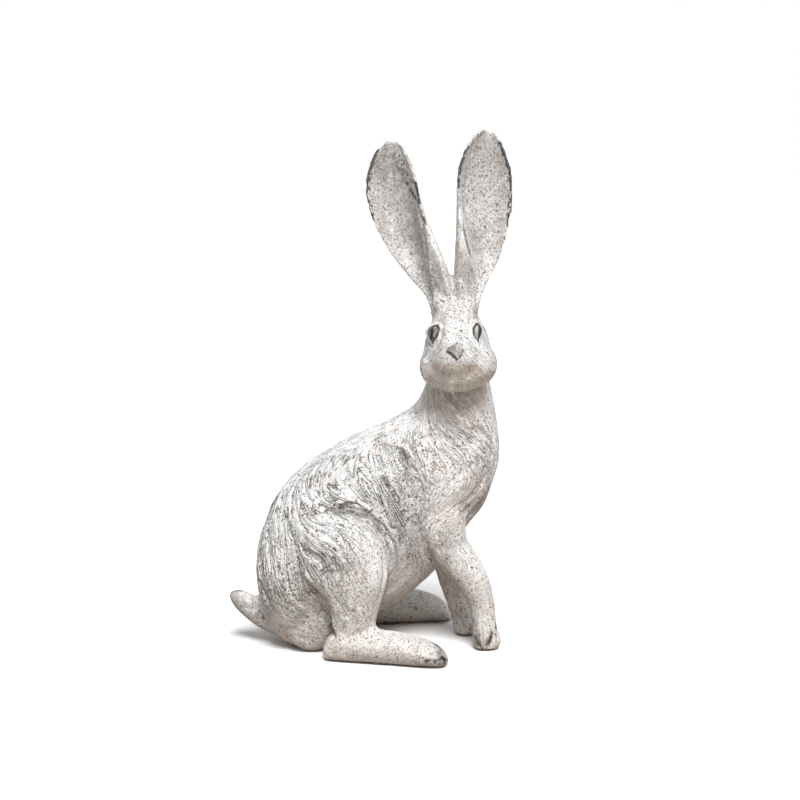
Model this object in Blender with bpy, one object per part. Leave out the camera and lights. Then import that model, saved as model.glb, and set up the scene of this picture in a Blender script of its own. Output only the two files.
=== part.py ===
"""Resin hare figurine, 338 mm tall, sitting on its haunches with its head turned over its right side.

The figure is cast in nine pieces that are pinned and glued together: a hollow torso, a head, two ears,
two forelegs, two hind feet and a tail. Steel pins and wooden dowels hold the joints, a rubber plug closes
the hole that the torso was poured through, and felt pads carry the weight.

The hare faces +X, its right side is -Y and up is +Z. The floor is z = 0. Lengths are in metres.
"""

import math

import bmesh
import bpy
from mathutils import Matrix, Vector
from mathutils.bvhtree import BVHTree
from mathutils.kdtree import KDTree

MM = 0.001

# Torso. The side outline is drawn below, and these set what the outline leaves open.
TORSO_WIDTH = 86 * MM
NECK_WIDTH = 45 * MM
SHOULDER_WIDTH = 66 * MM
SHOULDER_THICKNESS = 24 * MM
CORE_WIDTH = 30 * MM
CORE_WALL = 14 * MM

# Hind legs, set in from the torso's width. The left one stands a little further forward.
HAUNCH_INSET = 28 * MM
ANKLE_INSET = 6 * MM
HAUNCH_WIDTH = 44 * MM
HAUNCH_SPREAD = TORSO_WIDTH - HAUNCH_INSET
ANKLE_SPREAD = TORSO_WIDTH - ANKLE_INSET
LEFT_LEG_ADVANCE = 6 * MM
ANKLE_HEIGHT = 25.5 * MM
FOOT_LENGTH = 81 * MM
FOOT_WIDTH = 25 * MM
FOOT_HEIGHT = 21 * MM
LEFT_FOOT_ARCH = 3.5 * MM
FOOT_TURN_OUT = math.radians(11)

# Forelegs.
FORELEG_THICKNESS = 22 * MM
SHOULDER_SPREAD = 32 * MM
PAW_SPREAD = 35 * MM

# Tail.
TAIL_LENGTH = 40 * MM
TAIL_WIDTH = 20 * MM
TAIL_THICKNESS = 14 * MM

# Head, which turns about its middle, over the top of the neck.
SKULL_WIDTH = 42 * MM
SKULL_HEIGHT = 58 * MM
HEAD_LENGTH = 74 * MM
CHEEK_SPREAD = 50 * MM
CHEEK_THICKNESS = 27 * MM
EYE_SPREAD = 24 * MM
EYE_RADIUS = 6.5 * MM
HEAD_TURN = math.radians(-6)
HEAD_NOD = math.radians(6)
HEAD_TILT = math.radians(6)

# Ears.
EAR_LENGTH = 110 * MM
EAR_WIDTH = 38 * MM
EAR_CUP = 17 * MM
EAR_WALL = 3.2 * MM
EAR_LEAN_BACK = 12 * MM

# Joints, pins and plug.
GLUE_GAP = 0.3 * MM
JOINT_MARGIN = 2.5 * MM
FOOT_MARGIN = 1.5 * MM
PIN_CLEARANCE = 0.3 * MM
END_CLEARANCE = 0.5 * MM
EAR_PIN_RADIUS = 1.5 * MM
EAR_PIN_LENGTH = 18 * MM
TAIL_PIN_RADIUS = 1.5 * MM
TAIL_PIN_LENGTH = 18 * MM
FORELEG_PIN_RADIUS = 2 * MM
FORELEG_PIN_LENGTH = 28 * MM
FOOT_PIN_RADIUS = 2 * MM
FOOT_PIN_LENGTH = 20 * MM
DOWEL_RADIUS = 3 * MM
DOWEL_LENGTH = 28 * MM
DOWEL_SPACING = 18 * MM
PLUG_RADIUS = 8 * MM
PLUG_LENGTH = 8 * MM
PLUG_SETBACK = 4 * MM

# Felt pads.
PAD_THICKNESS = 1.2 * MM
RUMP_PAD_RADIUS = 11 * MM
FOOT_PAD_RADIUS = 7 * MM
PAW_PAD_RADIUS = 4 * MM
FOOT_PAD_SHARE = 0.45

# Mesh fineness.
RING_SIDES = 28
PIN_SIDES = 16
CORE_SIDES = 16
FIGURE_VOXEL = 2 * MM
FIGURE_SMOOTHING = 4
FIGURE_SHARE_KEPT = 0.10

# The castings stand on their pads, so nothing of them is lower than this.
UNDERSIDE = PAD_THICKNESS + GLUE_GAP
# Cutting blocks reach this far past the figurine.
REACH = 500 * MM
# The lofts go this far into the floor, so that the paws and feet are cut flat.
SINK = 1 * MM
UP = Vector((0, 0, 1))

SIDES = {"right": -1, "left": 1}

# Trunk from the rump to the base of the neck. Each row is a slice: the point on the back and the point
# on the belly or chest, as x and z in millimetres, its width as a share of TORSO_WIDTH, and how much
# narrower it is towards the belly.
TRUNK_SLICES = [
    (-72, 26, -62, 8, 0.40, 0.00),
    (-75, 48, -50, -2, 0.72, 0.10),
    (-72, 74, -32, -2, 0.92, 0.15),
    (-61, 101, -2, 16, 1.00, 0.24),
    (-42, 121, 24, 31, 0.95, 0.22),
    (-14, 139, 44, 50, 0.84, 0.12),
    (7, 148, 62, 76, 0.80, 0.05),
    (21, 154, 79, 101, 0.77, 0.00),
    (30, 161, 86, 128, 0.69, 0.00),
]
# Neck slices, with the width as a share of NECK_WIDTH.
NECK_SLICES = [
    (34, 168, 84, 149, 1.16, 0.00),
    (38, 178, 80, 168, 1.00, 0.00),
    (41, 190, 77, 184, 0.90, 0.00),
    (46, 200, 72, 198, 0.70, 0.00),
]
# Haunch slices from the ankle up: height z, middle x and length along x in millimetres, then how far
# the slice stands from the ankle line (0) to the haunch line (1), and its share of HAUNCH_WIDTH.
HAUNCH_SLICES = [
    (12, -10, 26, 0.00, 0.50),
    (22, -10, 28, 0.00, 0.56),
    (36, -10, 35, 0.25, 0.74),
    (50, -15, 54, 0.60, 0.94),
    (64, -20, 66, 0.90, 1.02),
    (78, -21, 62, 1.00, 1.00),
    (90, -20, 42, 1.05, 0.82),
    (96, -18, 22, 1.10, 0.50),
]
# Foot slices from the heel to the toes: shares of FOOT_LENGTH, FOOT_WIDTH and FOOT_HEIGHT.
FOOT_SLICES = [
    (0.00, 0.44, 0.50),
    (0.05, 0.72, 0.85),
    (0.18, 0.92, 1.10),
    (0.36, 0.92, 1.08),
    (0.55, 0.96, 1.04),
    (0.74, 1.04, 0.92),
    (0.88, 0.98, 0.72),
    (0.96, 0.78, 0.48),
    (1.00, 0.44, 0.26),
]
HEEL_X = -29
# Middle of a shoulder as x and z in millimetres, and how far its egg leans.
SHOULDER_X = 45
SHOULDER_Z = 87
SHOULDER_SLOPE = math.radians(-20)
# Radii of a shoulder's egg as shares of SHOULDER_THICKNESS, along x, across and up.
SHOULDER_RADII = (0.7, 0.5, 1.1)
# Foreleg slices from inside the chest to the floor: middle x and z in millimetres, how far the slice
# stands from the shoulder line (0) to the paw line (1), and its share of FORELEG_THICKNESS.
FORELEG_SLICES = {
    "right": [(42, 82, 0.0, 1.30), (50, 70, 0.1, 1.25), (59, 58, 0.3, 1.12), (68, 46, 0.55, 0.98),
              (73, 33, 0.8, 0.80), (75, 20, 1.0, 0.72), (76, 9, 1.0, 0.76), (76, -2, 1.0, 0.66)],
    "left": [(40, 80, 0.0, 1.30), (47, 66, 0.1, 1.20), (53, 52, 0.3, 1.00), (56, 38, 0.55, 0.88),
             (59, 26, 0.8, 0.76), (62, 16, 1.0, 0.72), (64, 8, 1.0, 0.76), (65, -2, 1.0, 0.66)],
}
# Forepaw, an egg whose middle is ahead of and over the leg's end, and its radii, all as shares of
# FORELEG_THICKNESS.
PAW_PLACE = (0.06, 0, 0.36)
PAW_RADII = (0.42, 0.36, 0.40)
# Tail line from inside the rump, as x and z in millimetres, with shares of TAIL_THICKNESS and TAIL_WIDTH.
TAIL_SLICES = [
    (-60, 11, 1.05, 1.00),
    (-71, 17, 1.10, 1.00),
    (-80, 24, 1.08, 0.96),
    (-89, 31, 0.88, 0.78),
    (-95, 35, 0.34, 0.36),
]
# Skull slices from the nape to the nose: shares of HEAD_LENGTH, SKULL_WIDTH and SKULL_HEIGHT, then the
# height of the slice's middle over the head's middle as a share of SKULL_HEIGHT.
SKULL_SLICES = [
    (-0.36, 0.36, 0.38, 0.04),
    (-0.28, 0.66, 0.70, 0.02),
    (-0.12, 0.92, 0.94, 0.00),
    (0.06, 1.00, 1.00, -0.02),
    (0.22, 0.95, 0.90, -0.05),
    (0.36, 0.78, 0.72, -0.09),
    (0.47, 0.60, 0.54, -0.12),
    (0.54, 0.42, 0.38, -0.14),
    (0.58, 0.22, 0.20, -0.15),
]
SKULL_CROWN_NARROWING = 0.26
HEAD_MIDDLE = (57, -16, 203)
# Eggs that round out the head: the place of the middle, then the radii, as shares of SKULL_WIDTH,
# HEAD_LENGTH and SKULL_HEIGHT. The first row stands on both sides of the head.
EAR_BASE_EGG = ((0.17, -0.02, 0.36), (0.19, 0.18, 0.26))
CROWN_EGG = ((-0.02, -0.03, 0.52), (0.20, 0.12, 0.24))
CHIN_EGG = ((0, -0.22, -0.36), (0.40, 0.28, 0.20))
# Places of a cheek and an eye as shares of HEAD_LENGTH and SKULL_HEIGHT, and how long and tall a cheek is.
CHEEK_PLACE = (-0.16, -0.26)
CHEEK_RADII = (0.26, 0.25)
EYE_PLACE = (-0.31, 0.11)
# Ear roots as shares of SKULL_WIDTH, HEAD_LENGTH and SKULL_HEIGHT from the head's middle.
EAR_ROOTS = {"right": (-0.15, -0.04, 0.40), "left": (0.17, -0.04, 0.40)}
# Ear centre lines seen from the front, as x and z in millimetres from the root in the crown.
EAR_LINES = {
    "right": [(1, -11), (0.5, 0), (-2, 12), (-8.5, 25), (-16, 38), (-24, 52), (-29.5, 66), (-32.5, 80),
              (-33, 92), (-32.5, 99), (-32, 103)],
    "left": [(-1, -11), (-0.5, 0), (0.5, 12), (3, 25), (6, 38), (8.5, 53), (10, 68), (11, 83), (12, 96),
             (13.5, 104), (14.5, 108)],
}
# Width of each ear as a share of EAR_WIDTH.
EAR_WIDTHS = {"right": 0.93, "left": 1.0}
# Ear slices on that line: shares of EAR_WIDTH and EAR_CUP, the wall as a share of EAR_WALL, how far the
# cup is turned outwards in degrees, and the share of the width by which the lip beside the other ear
# covers the cup.
EAR_SLICES = [
    (0.36, 0.54, 2.9, 50, 0.80), (0.50, 0.62, 2.9, 48, 0.72), (0.66, 0.70, 2.7, 45, 0.62),
    (0.84, 0.80, 2.5, 40, 0.42), (0.93, 0.92, 2.1, 33, 0.20), (0.98, 1.00, 1.4, 25, 0.05),
    (1.00, 1.00, 1.0, 18, 0), (0.93, 0.86, 1.0, 13, 0), (0.69, 0.58, 1.0, 10, 0), (0.46, 0.34, 0.9, 8, 0),
    (0.22, 0.18, 0.7, 8, 0),
]
# Main furrows of the carved fur on both flanks: depth and width in millimetres, whether the furrow goes
# with the hind leg, then its places as x and z in millimetres.
FURROWS = [
    (3.2, 3.6, True, [(-38, 100), (-29, 98), (-20, 99), (-10, 99), (-3, 94), (3, 89), (8, 81), (11, 72),
                      (12, 63), (11, 53), (8, 43), (3, 32)]),
    (2.2, 2.8, True, [(-42, 81), (-40, 73), (-30, 69), (-26, 62), (-25, 52)]),
    (1.6, 3.0, False, [(-56, 104), (-57, 94), (-54, 84), (-49, 70), (-46, 56), (-44, 42)]),
    (1.6, 3.0, False, [(-30, 128), (-32, 118), (-31, 109), (-24, 105), (-12, 104)]),
    (1.8, 3.0, False, [(-6, 123), (0, 113), (5, 103), (12, 92), (18, 80)]),
    (1.6, 3.0, False, [(18, 139), (23, 127), (27, 113), (28, 100)]),
    (1.6, 3.0, False, [(46, 158), (54, 150), (62, 144), (70, 136)]),
    (1.4, 3.0, False, [(44, 144), (52, 139), (60, 134), (67, 126)]),
]
# Share of a furrow over which its depth grows at either end.
FURROW_TAPER = 0.25
# Joints, as places in the lines above. Each line has two rings for each of its slices.
EAR_JOINT_RING = 6
FORELEG_JOINT_RING = 2
TAIL_JOINT_RING = 2


def clear_scene():
    """Remove the objects of the scene that the script starts in."""
    for thing in list(bpy.data.objects):
        bpy.data.objects.remove(thing, do_unlink=True)


def make_material(name, colour, roughness, metallic=0.0):
    """Make a Principled material."""
    material = bpy.data.materials.new(name)
    material.use_nodes = True
    shader = material.node_tree.nodes["Principled BSDF"]
    shader.inputs["Base Color"].default_value = (*colour, 1.0)
    shader.inputs["Roughness"].default_value = roughness
    shader.inputs["Metallic"].default_value = metallic
    material.diffuse_color = (*colour, 1.0)
    return material


def make_object(name, mesh, root, material=None):
    """Link a mesh as an object under the root."""
    thing = bpy.data.objects.new(name, mesh)
    bpy.context.scene.collection.objects.link(thing)
    thing.parent = root
    if material:
        mesh.materials.clear()
        mesh.materials.append(material)
    return thing


def make_guide(name, mesh, root):
    """Link a mesh as a construction shape that is not a piece of the figurine."""
    guide = make_object(name, mesh, root)
    guide.hide_render = True
    guide.display_type = "WIRE"
    return guide


def finish_mesh(bm, name, smooth=True):
    """Turn a bmesh into a mesh with its faces pointing out."""
    bmesh.ops.recalc_face_normals(bm, faces=bm.faces[:])
    mesh = bpy.data.meshes.new(name)
    bm.to_mesh(mesh)
    bm.free()
    if smooth:
        mesh.shade_smooth()
    return mesh


def skin_rings(bm, rings):
    """Join rings of points with quads and close both ends."""
    loops = [[bm.verts.new(point) for point in ring] for ring in rings]
    count = len(loops[0])
    for lower, upper in zip(loops, loops[1:]):
        for i in range(count):
            j = (i + 1) % count
            bm.faces.new((lower[i], lower[j], upper[j], upper[i]))
    bm.faces.new(list(reversed(loops[0])))
    bm.faces.new(loops[-1])


def oval_ring(centre, half_a, half_b, sides=RING_SIDES, narrowing=0.0):
    """Give the points of an oval whose two half axes are vectors, narrower towards the first one."""
    ring = []
    for i in range(sides):
        step = 2 * math.pi * i / sides
        share = 1 - narrowing * math.cos(step)
        ring.append(centre + half_a * math.cos(step) + half_b * (share * math.sin(step)))
    return ring


def smooth_rows(rows, steps):
    """Pass a smooth curve through rows of numbers and give more rows on it."""
    result = []
    last = len(rows) - 1
    for i in range(last):
        near = (rows[max(i - 1, 0)], rows[i], rows[i + 1], rows[min(i + 2, last)])
        for k in range(steps):
            t = k / steps
            row = []
            for a, b, c, d in zip(*near):
                bend = (2 * a - 5 * b + 4 * c - d) * t * t + (3 * b - a - 3 * c + d) * t ** 3
                row.append(0.5 * (2 * b + (c - a) * t + bend))
            result.append(tuple(row))
    result.append(tuple(rows[last]))
    return result


def trunk_rings():
    """Give the slices of the trunk and neck."""
    rows = [(*row[:4], row[4] * TORSO_WIDTH / 2, row[5]) for row in TRUNK_SLICES]
    rows += [(*row[:4], row[4] * NECK_WIDTH / 2, row[5]) for row in NECK_SLICES]
    rings = []
    for back_x, back_z, front_x, front_z, half_width, narrowing in smooth_rows(rows, 3):
        back = Vector((back_x, 0, back_z)) * MM
        front = Vector((front_x, 0, front_z)) * MM
        across = Vector((0, half_width, 0))
        rings.append(oval_ring((back + front) / 2, (front - back) / 2, across, narrowing=narrowing))
    return rings


def core_rings():
    """Give the slices of the hollow inside the trunk."""
    rings = []
    for back_x, back_z, front_x, front_z, share, narrowing in TRUNK_SLICES[1:-1]:
        back = Vector((back_x, 0, back_z)) * MM
        front = Vector((front_x, 0, front_z)) * MM
        half_depth = (front - back) / 2
        half_depth *= 1 - CORE_WALL / half_depth.length
        across = Vector((0, share * CORE_WIDTH / 2, 0))
        rings.append(oval_ring((back + front) / 2, half_depth, across, CORE_SIDES))
    return rings


def leg_advance(side):
    """Give how far forward a hind leg stands."""
    return LEFT_LEG_ADVANCE if side == "left" else 0.0


def haunch_rings(side):
    """Give the slices of one hind leg from the ankle to the top of the haunch."""
    rings = []
    for z, x, length, spread, width in smooth_rows(HAUNCH_SLICES, 3):
        y = SIDES[side] * (ANKLE_SPREAD + (HAUNCH_SPREAD - ANKLE_SPREAD) * spread) / 2
        centre = Vector((x * MM + leg_advance(side), y, z * MM))
        along = Vector((length * MM / 2, 0, 0))
        rings.append(oval_ring(centre, along, Vector((0, width * HAUNCH_WIDTH / 2, 0))))
    return rings


def shoulder_rings(side):
    """Give the slices of one shoulder, an egg against the chest."""
    y = SIDES[side] * (SHOULDER_WIDTH - SHOULDER_THICKNESS) / 2
    centre = Vector((SHOULDER_X * MM, y, SHOULDER_Z * MM))
    radii = Vector(SHOULDER_RADII) * SHOULDER_THICKNESS
    return ball_rings(centre, radii, Matrix.Rotation(SHOULDER_SLOPE, 3, "Y"))


def foot_frame(side):
    """Give the place of a heel, with x along the foot."""
    heel = Vector((HEEL_X * MM + leg_advance(side), SIDES[side] * ANKLE_SPREAD / 2, 0))
    return Matrix.Translation(heel) @ Matrix.Rotation(SIDES[side] * FOOT_TURN_OUT, 4, "Z")


def foot_tallness(side):
    """Give the height of one hind foot, of which the left one is arched."""
    return FOOT_HEIGHT + (LEFT_FOOT_ARCH if side == "left" else 0)


def foot_rings(side):
    """Give the slices of one hind foot from the heel to the toes."""
    frame = foot_frame(side)
    tallness = foot_tallness(side)
    rings = []
    for along, width, height in smooth_rows(FOOT_SLICES, 2):
        half_height = height * tallness / 2
        centre = frame @ Vector((along * FOOT_LENGTH, 0, half_height - SINK))
        across = frame.to_3x3() @ Vector((0, width * FOOT_WIDTH / 2, 0))
        rings.append(oval_ring(centre, across, Vector((0, 0, half_height))))
    return rings


def rings_along(points, half_sizes):
    """Give ovals square to a line of points, each with its half thickness and half width."""
    rings = []
    last = len(points) - 1
    for i, (point, (half_depth, half_width)) in enumerate(zip(points, half_sizes)):
        run = points[min(i + 1, last)] - points[max(i - 1, 0)]
        depth = run.cross(Vector((0, 1, 0))).normalized()
        across = depth.cross(run).normalized()
        rings.append(oval_ring(point, depth * half_depth, across * half_width))
    return rings


def foreleg_line(side):
    """Give the middle line and half sizes of one foreleg."""
    rows = smooth_rows(FORELEG_SLICES[side], 2)
    points = []
    for x, z, blend, share in rows:
        y = SIDES[side] * (SHOULDER_SPREAD + (PAW_SPREAD - SHOULDER_SPREAD) * blend) / 2
        points.append(Vector((x * MM, y, z * MM)))
    return points, [(row[3] * FORELEG_THICKNESS / 2,) * 2 for row in rows]


def tail_line():
    """Give the middle line and half sizes of the tail."""
    rows = smooth_rows(TAIL_SLICES, 2)
    drawn = [Vector((row[0], 0, row[1])) * MM for row in rows]
    stretch = TAIL_LENGTH / (drawn[-1] - drawn[0]).length
    points = [drawn[0] + (point - drawn[0]) * stretch for point in drawn]
    return points, [(thick * TAIL_THICKNESS / 2, wide * TAIL_WIDTH / 2) for x, z, thick, wide in rows]


def head_frame():
    """Give the head's own place: x to its left side, y to the nape and z up."""
    turn = Matrix.Rotation(HEAD_TURN, 4, "Z")
    tilt = Matrix.Rotation(-HEAD_TILT, 4, "Y")
    nod = Matrix.Rotation(-HEAD_NOD, 4, "X")
    return Matrix.Translation(Vector(HEAD_MIDDLE) * MM) @ turn @ tilt @ nod


def skull_rings():
    """Give the slices of the skull from the nape to the nose."""
    frame = head_frame()
    turn = frame.to_3x3()
    rings = []
    for along, width, height, rise in smooth_rows(SKULL_SLICES, 3):
        centre = frame @ Vector((0, -along * HEAD_LENGTH, rise * SKULL_HEIGHT))
        half_width = turn @ Vector((width * SKULL_WIDTH / 2, 0, 0))
        half_height = turn @ Vector((0, 0, height * SKULL_HEIGHT / 2))
        rings.append(oval_ring(centre, half_height, half_width, narrowing=SKULL_CROWN_NARROWING))
    return rings


def head_share(shares):
    """Turn shares of the head's width, length and height into a length along each."""
    return Vector((shares[0] * SKULL_WIDTH, shares[1] * HEAD_LENGTH, shares[2] * SKULL_HEIGHT))


def face_eggs():
    """Give the eggs that round out the head, as middle and radii in the head's own directions."""
    eggs = [(head_share(middle), head_share(radii)) for middle, radii in (CROWN_EGG, CHIN_EGG)]
    for sign in SIDES.values():
        cheek = head_share((0, *CHEEK_PLACE)) + Vector((sign * (CHEEK_SPREAD - CHEEK_THICKNESS) / 2, 0, 0))
        eggs.append((cheek, head_share((0, *CHEEK_RADII)) + Vector((CHEEK_THICKNESS / 2, 0, 0))))
        eye = head_share((0, *EYE_PLACE)) + Vector((sign * EYE_SPREAD / 2, 0, 0))
        eggs.append((eye, Vector((EYE_RADIUS, EYE_RADIUS, EYE_RADIUS))))
        (out, ahead, rise), radii = EAR_BASE_EGG
        eggs.append((head_share((sign * out, ahead, rise)), head_share(radii)))
    return eggs


def ball_rings(centre, radii, turn=Matrix.Identity(3)):
    """Give the slices of an egg shape from its lowest point up."""
    rings = []
    for i in range(1, 12):
        step = math.pi * i / 12
        across = math.sin(step)
        place = centre + turn @ Vector((0, 0, -math.cos(step) * radii[2]))
        half_x = turn @ Vector((radii[0] * across, 0, 0))
        rings.append(oval_ring(place, half_x, turn @ Vector((0, radii[1] * across, 0))))
    return rings


def ear_line(side):
    """Give the ear's centre line, leaning back towards the tip."""
    root = head_frame() @ head_share(EAR_ROOTS[side])
    drawn = EAR_LINES[side]
    tip = EAR_LINES["left"][-1][1]
    stretch = EAR_LENGTH / (tip * MM)
    line = []
    for x, z in drawn:
        back = EAR_LEAN_BACK * z / tip
        line.append(root + Vector((x * MM * stretch, back, z * MM * stretch)))
    return line


def ear_places(side):
    """Give each ear slice as its middle, its direction across, its direction back and its sizes."""
    rows = [(*point, *sizes) for point, sizes in zip(ear_line(side), EAR_SLICES)]
    rows = smooth_rows(rows, 2)
    points = [Vector(row[:3]) for row in rows]
    last = len(rows) - 1
    places = []
    for i, row in enumerate(rows):
        run = (points[min(i + 1, last)] - points[max(i - 1, 0)]).normalized()
        turn = Matrix.Rotation(SIDES[side] * math.radians(row[6]), 3, run)
        back = turn @ (Vector((0, 1, 0)) - run * run.y).normalized()
        places.append((points[i], run.cross(back), back, (*row[3:6], row[7])))
    return places


def ear_rings(side):
    """Give the ear's slices, each a cup that opens towards the front."""
    rings = []
    for middle, across, back, (width, cup, wall, lip) in ear_places(side):
        half_width = width * EAR_WIDTHS[side] * EAR_WIDTH / 2
        outer = cup * EAR_CUP
        front = middle - back * outer / 2
        rings.append(cup_ring(front, across * half_width, back, outer, wall * EAR_WALL, lip * SIDES[side]))
    return rings


def cup_ring(middle, half_width, back, outer, wall, lip):
    """Give a crescent: an outer arc behind and an inner arc in front of it, with round rims and one lip."""
    half = RING_SIDES // 2
    rim = min(0.5 * EAR_WALL, half_width.length / 3)
    inner_width = half_width * (1 - rim / half_width.length)
    ring = []
    for i in range(half + 1):
        step = math.pi * i / half
        ring.append(middle + half_width * math.cos(step) + back * (outer * math.sin(step)))
    for i in range(1, half):
        step = math.pi * (half - i) / half
        depth = (outer - wall + rim) * math.sin(step) - rim
        share = (1 - abs(lip)) * math.cos(step) - lip
        ring.append(middle + inner_width * share + back * depth)
    return ring


def paw_rings(side):
    """Give the slices of one forepaw, an egg around the end of its leg."""
    points, sizes = foreleg_line(side)
    middle = points[-1] + Vector(PAW_PLACE) * FORELEG_THICKNESS
    return ball_rings(middle, Vector(PAW_RADII) * FORELEG_THICKNESS)


def make_figure(root):
    """Model the hare without its ears as one smooth form, from which the castings are cut."""
    bm = bmesh.new()
    skin_rings(bm, trunk_rings())
    skin_rings(bm, skull_rings())
    skin_rings(bm, rings_along(*tail_line()))
    head = head_frame()
    for middle, radii in face_eggs():
        skin_rings(bm, ball_rings(head @ middle, radii, head.to_3x3()))
    for side in SIDES:
        skin_rings(bm, haunch_rings(side))
        skin_rings(bm, shoulder_rings(side))
        skin_rings(bm, foot_rings(side))
        skin_rings(bm, rings_along(*foreleg_line(side)))
        skin_rings(bm, paw_rings(side))
    figure = make_guide("figure_guide", finish_mesh(bm, "figure_guide"), root)
    remesh = figure.modifiers.new("one_form", "REMESH")
    remesh.mode = "VOXEL"
    remesh.voxel_size = FIGURE_VOXEL
    soften = figure.modifiers.new("soften", "SMOOTH")
    soften.iterations = FIGURE_SMOOTHING
    form = modified_mesh(figure)
    press_furrows(form)
    furrowed = make_guide("furrowed_guide", form, root)
    thin = furrowed.modifiers.new("thin_out", "DECIMATE")
    thin.ratio = FIGURE_SHARE_KEPT
    return modified_mesh(furrowed)


def modified_mesh(thing):
    """Give the mesh of an object with its modifiers applied."""
    depsgraph = bpy.context.evaluated_depsgraph_get()
    return bpy.data.meshes.new_from_object(thing.evaluated_get(depsgraph))


def furrow_places(bm):
    """Give the furrows' places on the skin of the figure, each with its depth and width."""
    skin = BVHTree.FromBMesh(bm)
    places = []
    for depth, width, with_leg, drawn in FURROWS:
        rows = smooth_rows(drawn, 6)
        for side, sign in SIDES.items():
            advance = leg_advance(side) if with_leg else 0.0
            for i, (x, z) in enumerate(rows):
                start = Vector((x * MM + advance, sign * REACH, z * MM))
                hit = skin.ray_cast(start, Vector((0, -sign, 0)))[0]
                share = i / (len(rows) - 1)
                growth = min(1, share / FURROW_TAPER, (1 - share) / FURROW_TAPER)
                if hit:
                    places.append((hit, depth * growth * MM, width * MM))
    return places


def press_furrows(mesh):
    """Press the main furrows of the fur into the figure."""
    bm = bmesh.new()
    bm.from_mesh(mesh)
    places = furrow_places(bm)
    tree = KDTree(len(places))
    for i, (place, depth, width) in enumerate(places):
        tree.insert(place, i)
    tree.balance()
    moves = []
    for vert in bm.verts:
        nearest, index, distance = tree.find(vert.co)
        depth, width = places[index][1:]
        moves.append(vert.normal * (-depth * math.exp(-(distance / width) ** 2)))
    for vert, move in zip(bm.verts, moves):
        vert.co += move
    bm.to_mesh(mesh)
    bm.free()


def block_mesh(name, frame, low, high):
    """Make a block between two corners of a frame."""
    bm = bmesh.new()
    size = high - low
    place = frame @ Matrix.Translation((low + high) / 2) @ Matrix.Diagonal((*size, 1))
    bmesh.ops.create_cube(bm, size=1, matrix=place)
    return finish_mesh(bm, name, smooth=False)


def rod_mesh(name, middle, direction, length, radius, sides=PIN_SIDES):
    """Make a round rod."""
    bm = bmesh.new()
    place = Matrix.Translation(middle) @ direction.to_track_quat("Z", "Y").to_matrix().to_4x4()
    bmesh.ops.create_cone(bm, cap_ends=True, segments=sides, radius1=radius, radius2=radius,
                          depth=length, matrix=place)
    mesh = finish_mesh(bm, name)
    mesh.set_sharp_from_angle(angle=math.radians(40))
    return mesh


def rings_mesh(name, rings):
    """Make a closed skin over rings."""
    bm = bmesh.new()
    skin_rings(bm, rings)
    return finish_mesh(bm, name)


def limb_cutter(name, line, first, growth, back_off):
    """Make the shape that cuts a limb off at one point of its line, wider and wider towards its end."""
    points, sizes = line
    grown = []
    for i, (depth, width) in enumerate(sizes):
        extra = growth * (1 + i / (len(sizes) - 1))
        grown.append((depth + extra, width + extra))
    start = (points[first + 1] - points[first - 1]).normalized()
    end = (points[-1] - points[-2]).normalized()
    rings = rings_along(points, grown)[first:]
    rings[0] = [point - start * back_off for point in rings[0]]
    rings.append([point + end * 2 * JOINT_MARGIN for point in rings[-1]])
    return rings_mesh(name, rings)


def ear_root(name, side):
    """Make the root of an ear, which is cast with the head and ends below the ear joint."""
    rings = ear_rings(side)[:EAR_JOINT_RING + 1]
    places = ear_places(side)
    down = (places[EAR_JOINT_RING - 1][0] - places[EAR_JOINT_RING + 1][0]).normalized()
    rings[-1] = [point + down * GLUE_GAP for point in rings[-1]]
    return rings_mesh(name, rings)


def foot_cutter(name, side, growth):
    """Make the shape that holds one foot below the ankle joint."""
    frame = foot_frame(side)
    turn = frame.to_3x3()
    rings = []
    for along, width, height in smooth_rows(FOOT_SLICES, 2):
        middle = frame @ Vector((along * FOOT_LENGTH, 0, 0))
        across = turn @ Vector((0, width * FOOT_WIDTH / 2 + growth, 0))
        low = middle - UP * JOINT_MARGIN
        top = min(ANKLE_HEIGHT, height * foot_tallness(side) + JOINT_MARGIN)
        high = middle + UP * (top + growth - FOOT_MARGIN)
        rings.append([low - across, low + across, high + across, high - across])
    run = turn @ Vector((1, 0, 0))
    rings.insert(0, [point - run * growth for point in rings[0]])
    rings.append([point + run * JOINT_MARGIN for point in rings[-1]])
    return rings_mesh(name, rings)


def neck_frame():
    """Give the place of the neck joint, with z out of the torso."""
    backs = [Vector((row[0], 0, row[1])) for row in NECK_SLICES[:2]]
    fronts = [Vector((row[2], 0, row[3])) for row in NECK_SLICES[:2]]
    back = (backs[0] + backs[1]) / 2 * MM
    front = (fronts[0] + fronts[1]) / 2 * MM
    up = (front - back).cross(Vector((0, 1, 0))).normalized()
    turn = up.to_track_quat("Z", "Y").to_matrix().to_4x4()
    return Matrix.Translation((back + front) / 2) @ turn, (front - back).normalized()


def neck_block(name, gap):
    """Make the block that holds everything above the neck joint."""
    frame, along = neck_frame()
    return block_mesh(name, frame, Vector((-REACH, -REACH, -gap)), Vector((REACH, REACH, REACH)))


def plug_place():
    """Give the middle of the fill hole on the flat underside."""
    fronts = [row[2] for row in TRUNK_SLICES[1:3]]
    return Vector((sum(fronts) / 2 * MM - PLUG_SETBACK, 0, UNDERSIDE))


def ear_seat(side, ring):
    """Give the middle of an ear's wall at one of its slices."""
    middle, across, back, (width, cup, wall, lip) = ear_places(side)[ring]
    return middle + back * (cup * EAR_CUP - wall * EAR_WALL) / 2


def run_at(points, place):
    """Give the direction of a line of points at one of them."""
    return (points[place + 1] - points[place - 1]).normalized()


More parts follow.
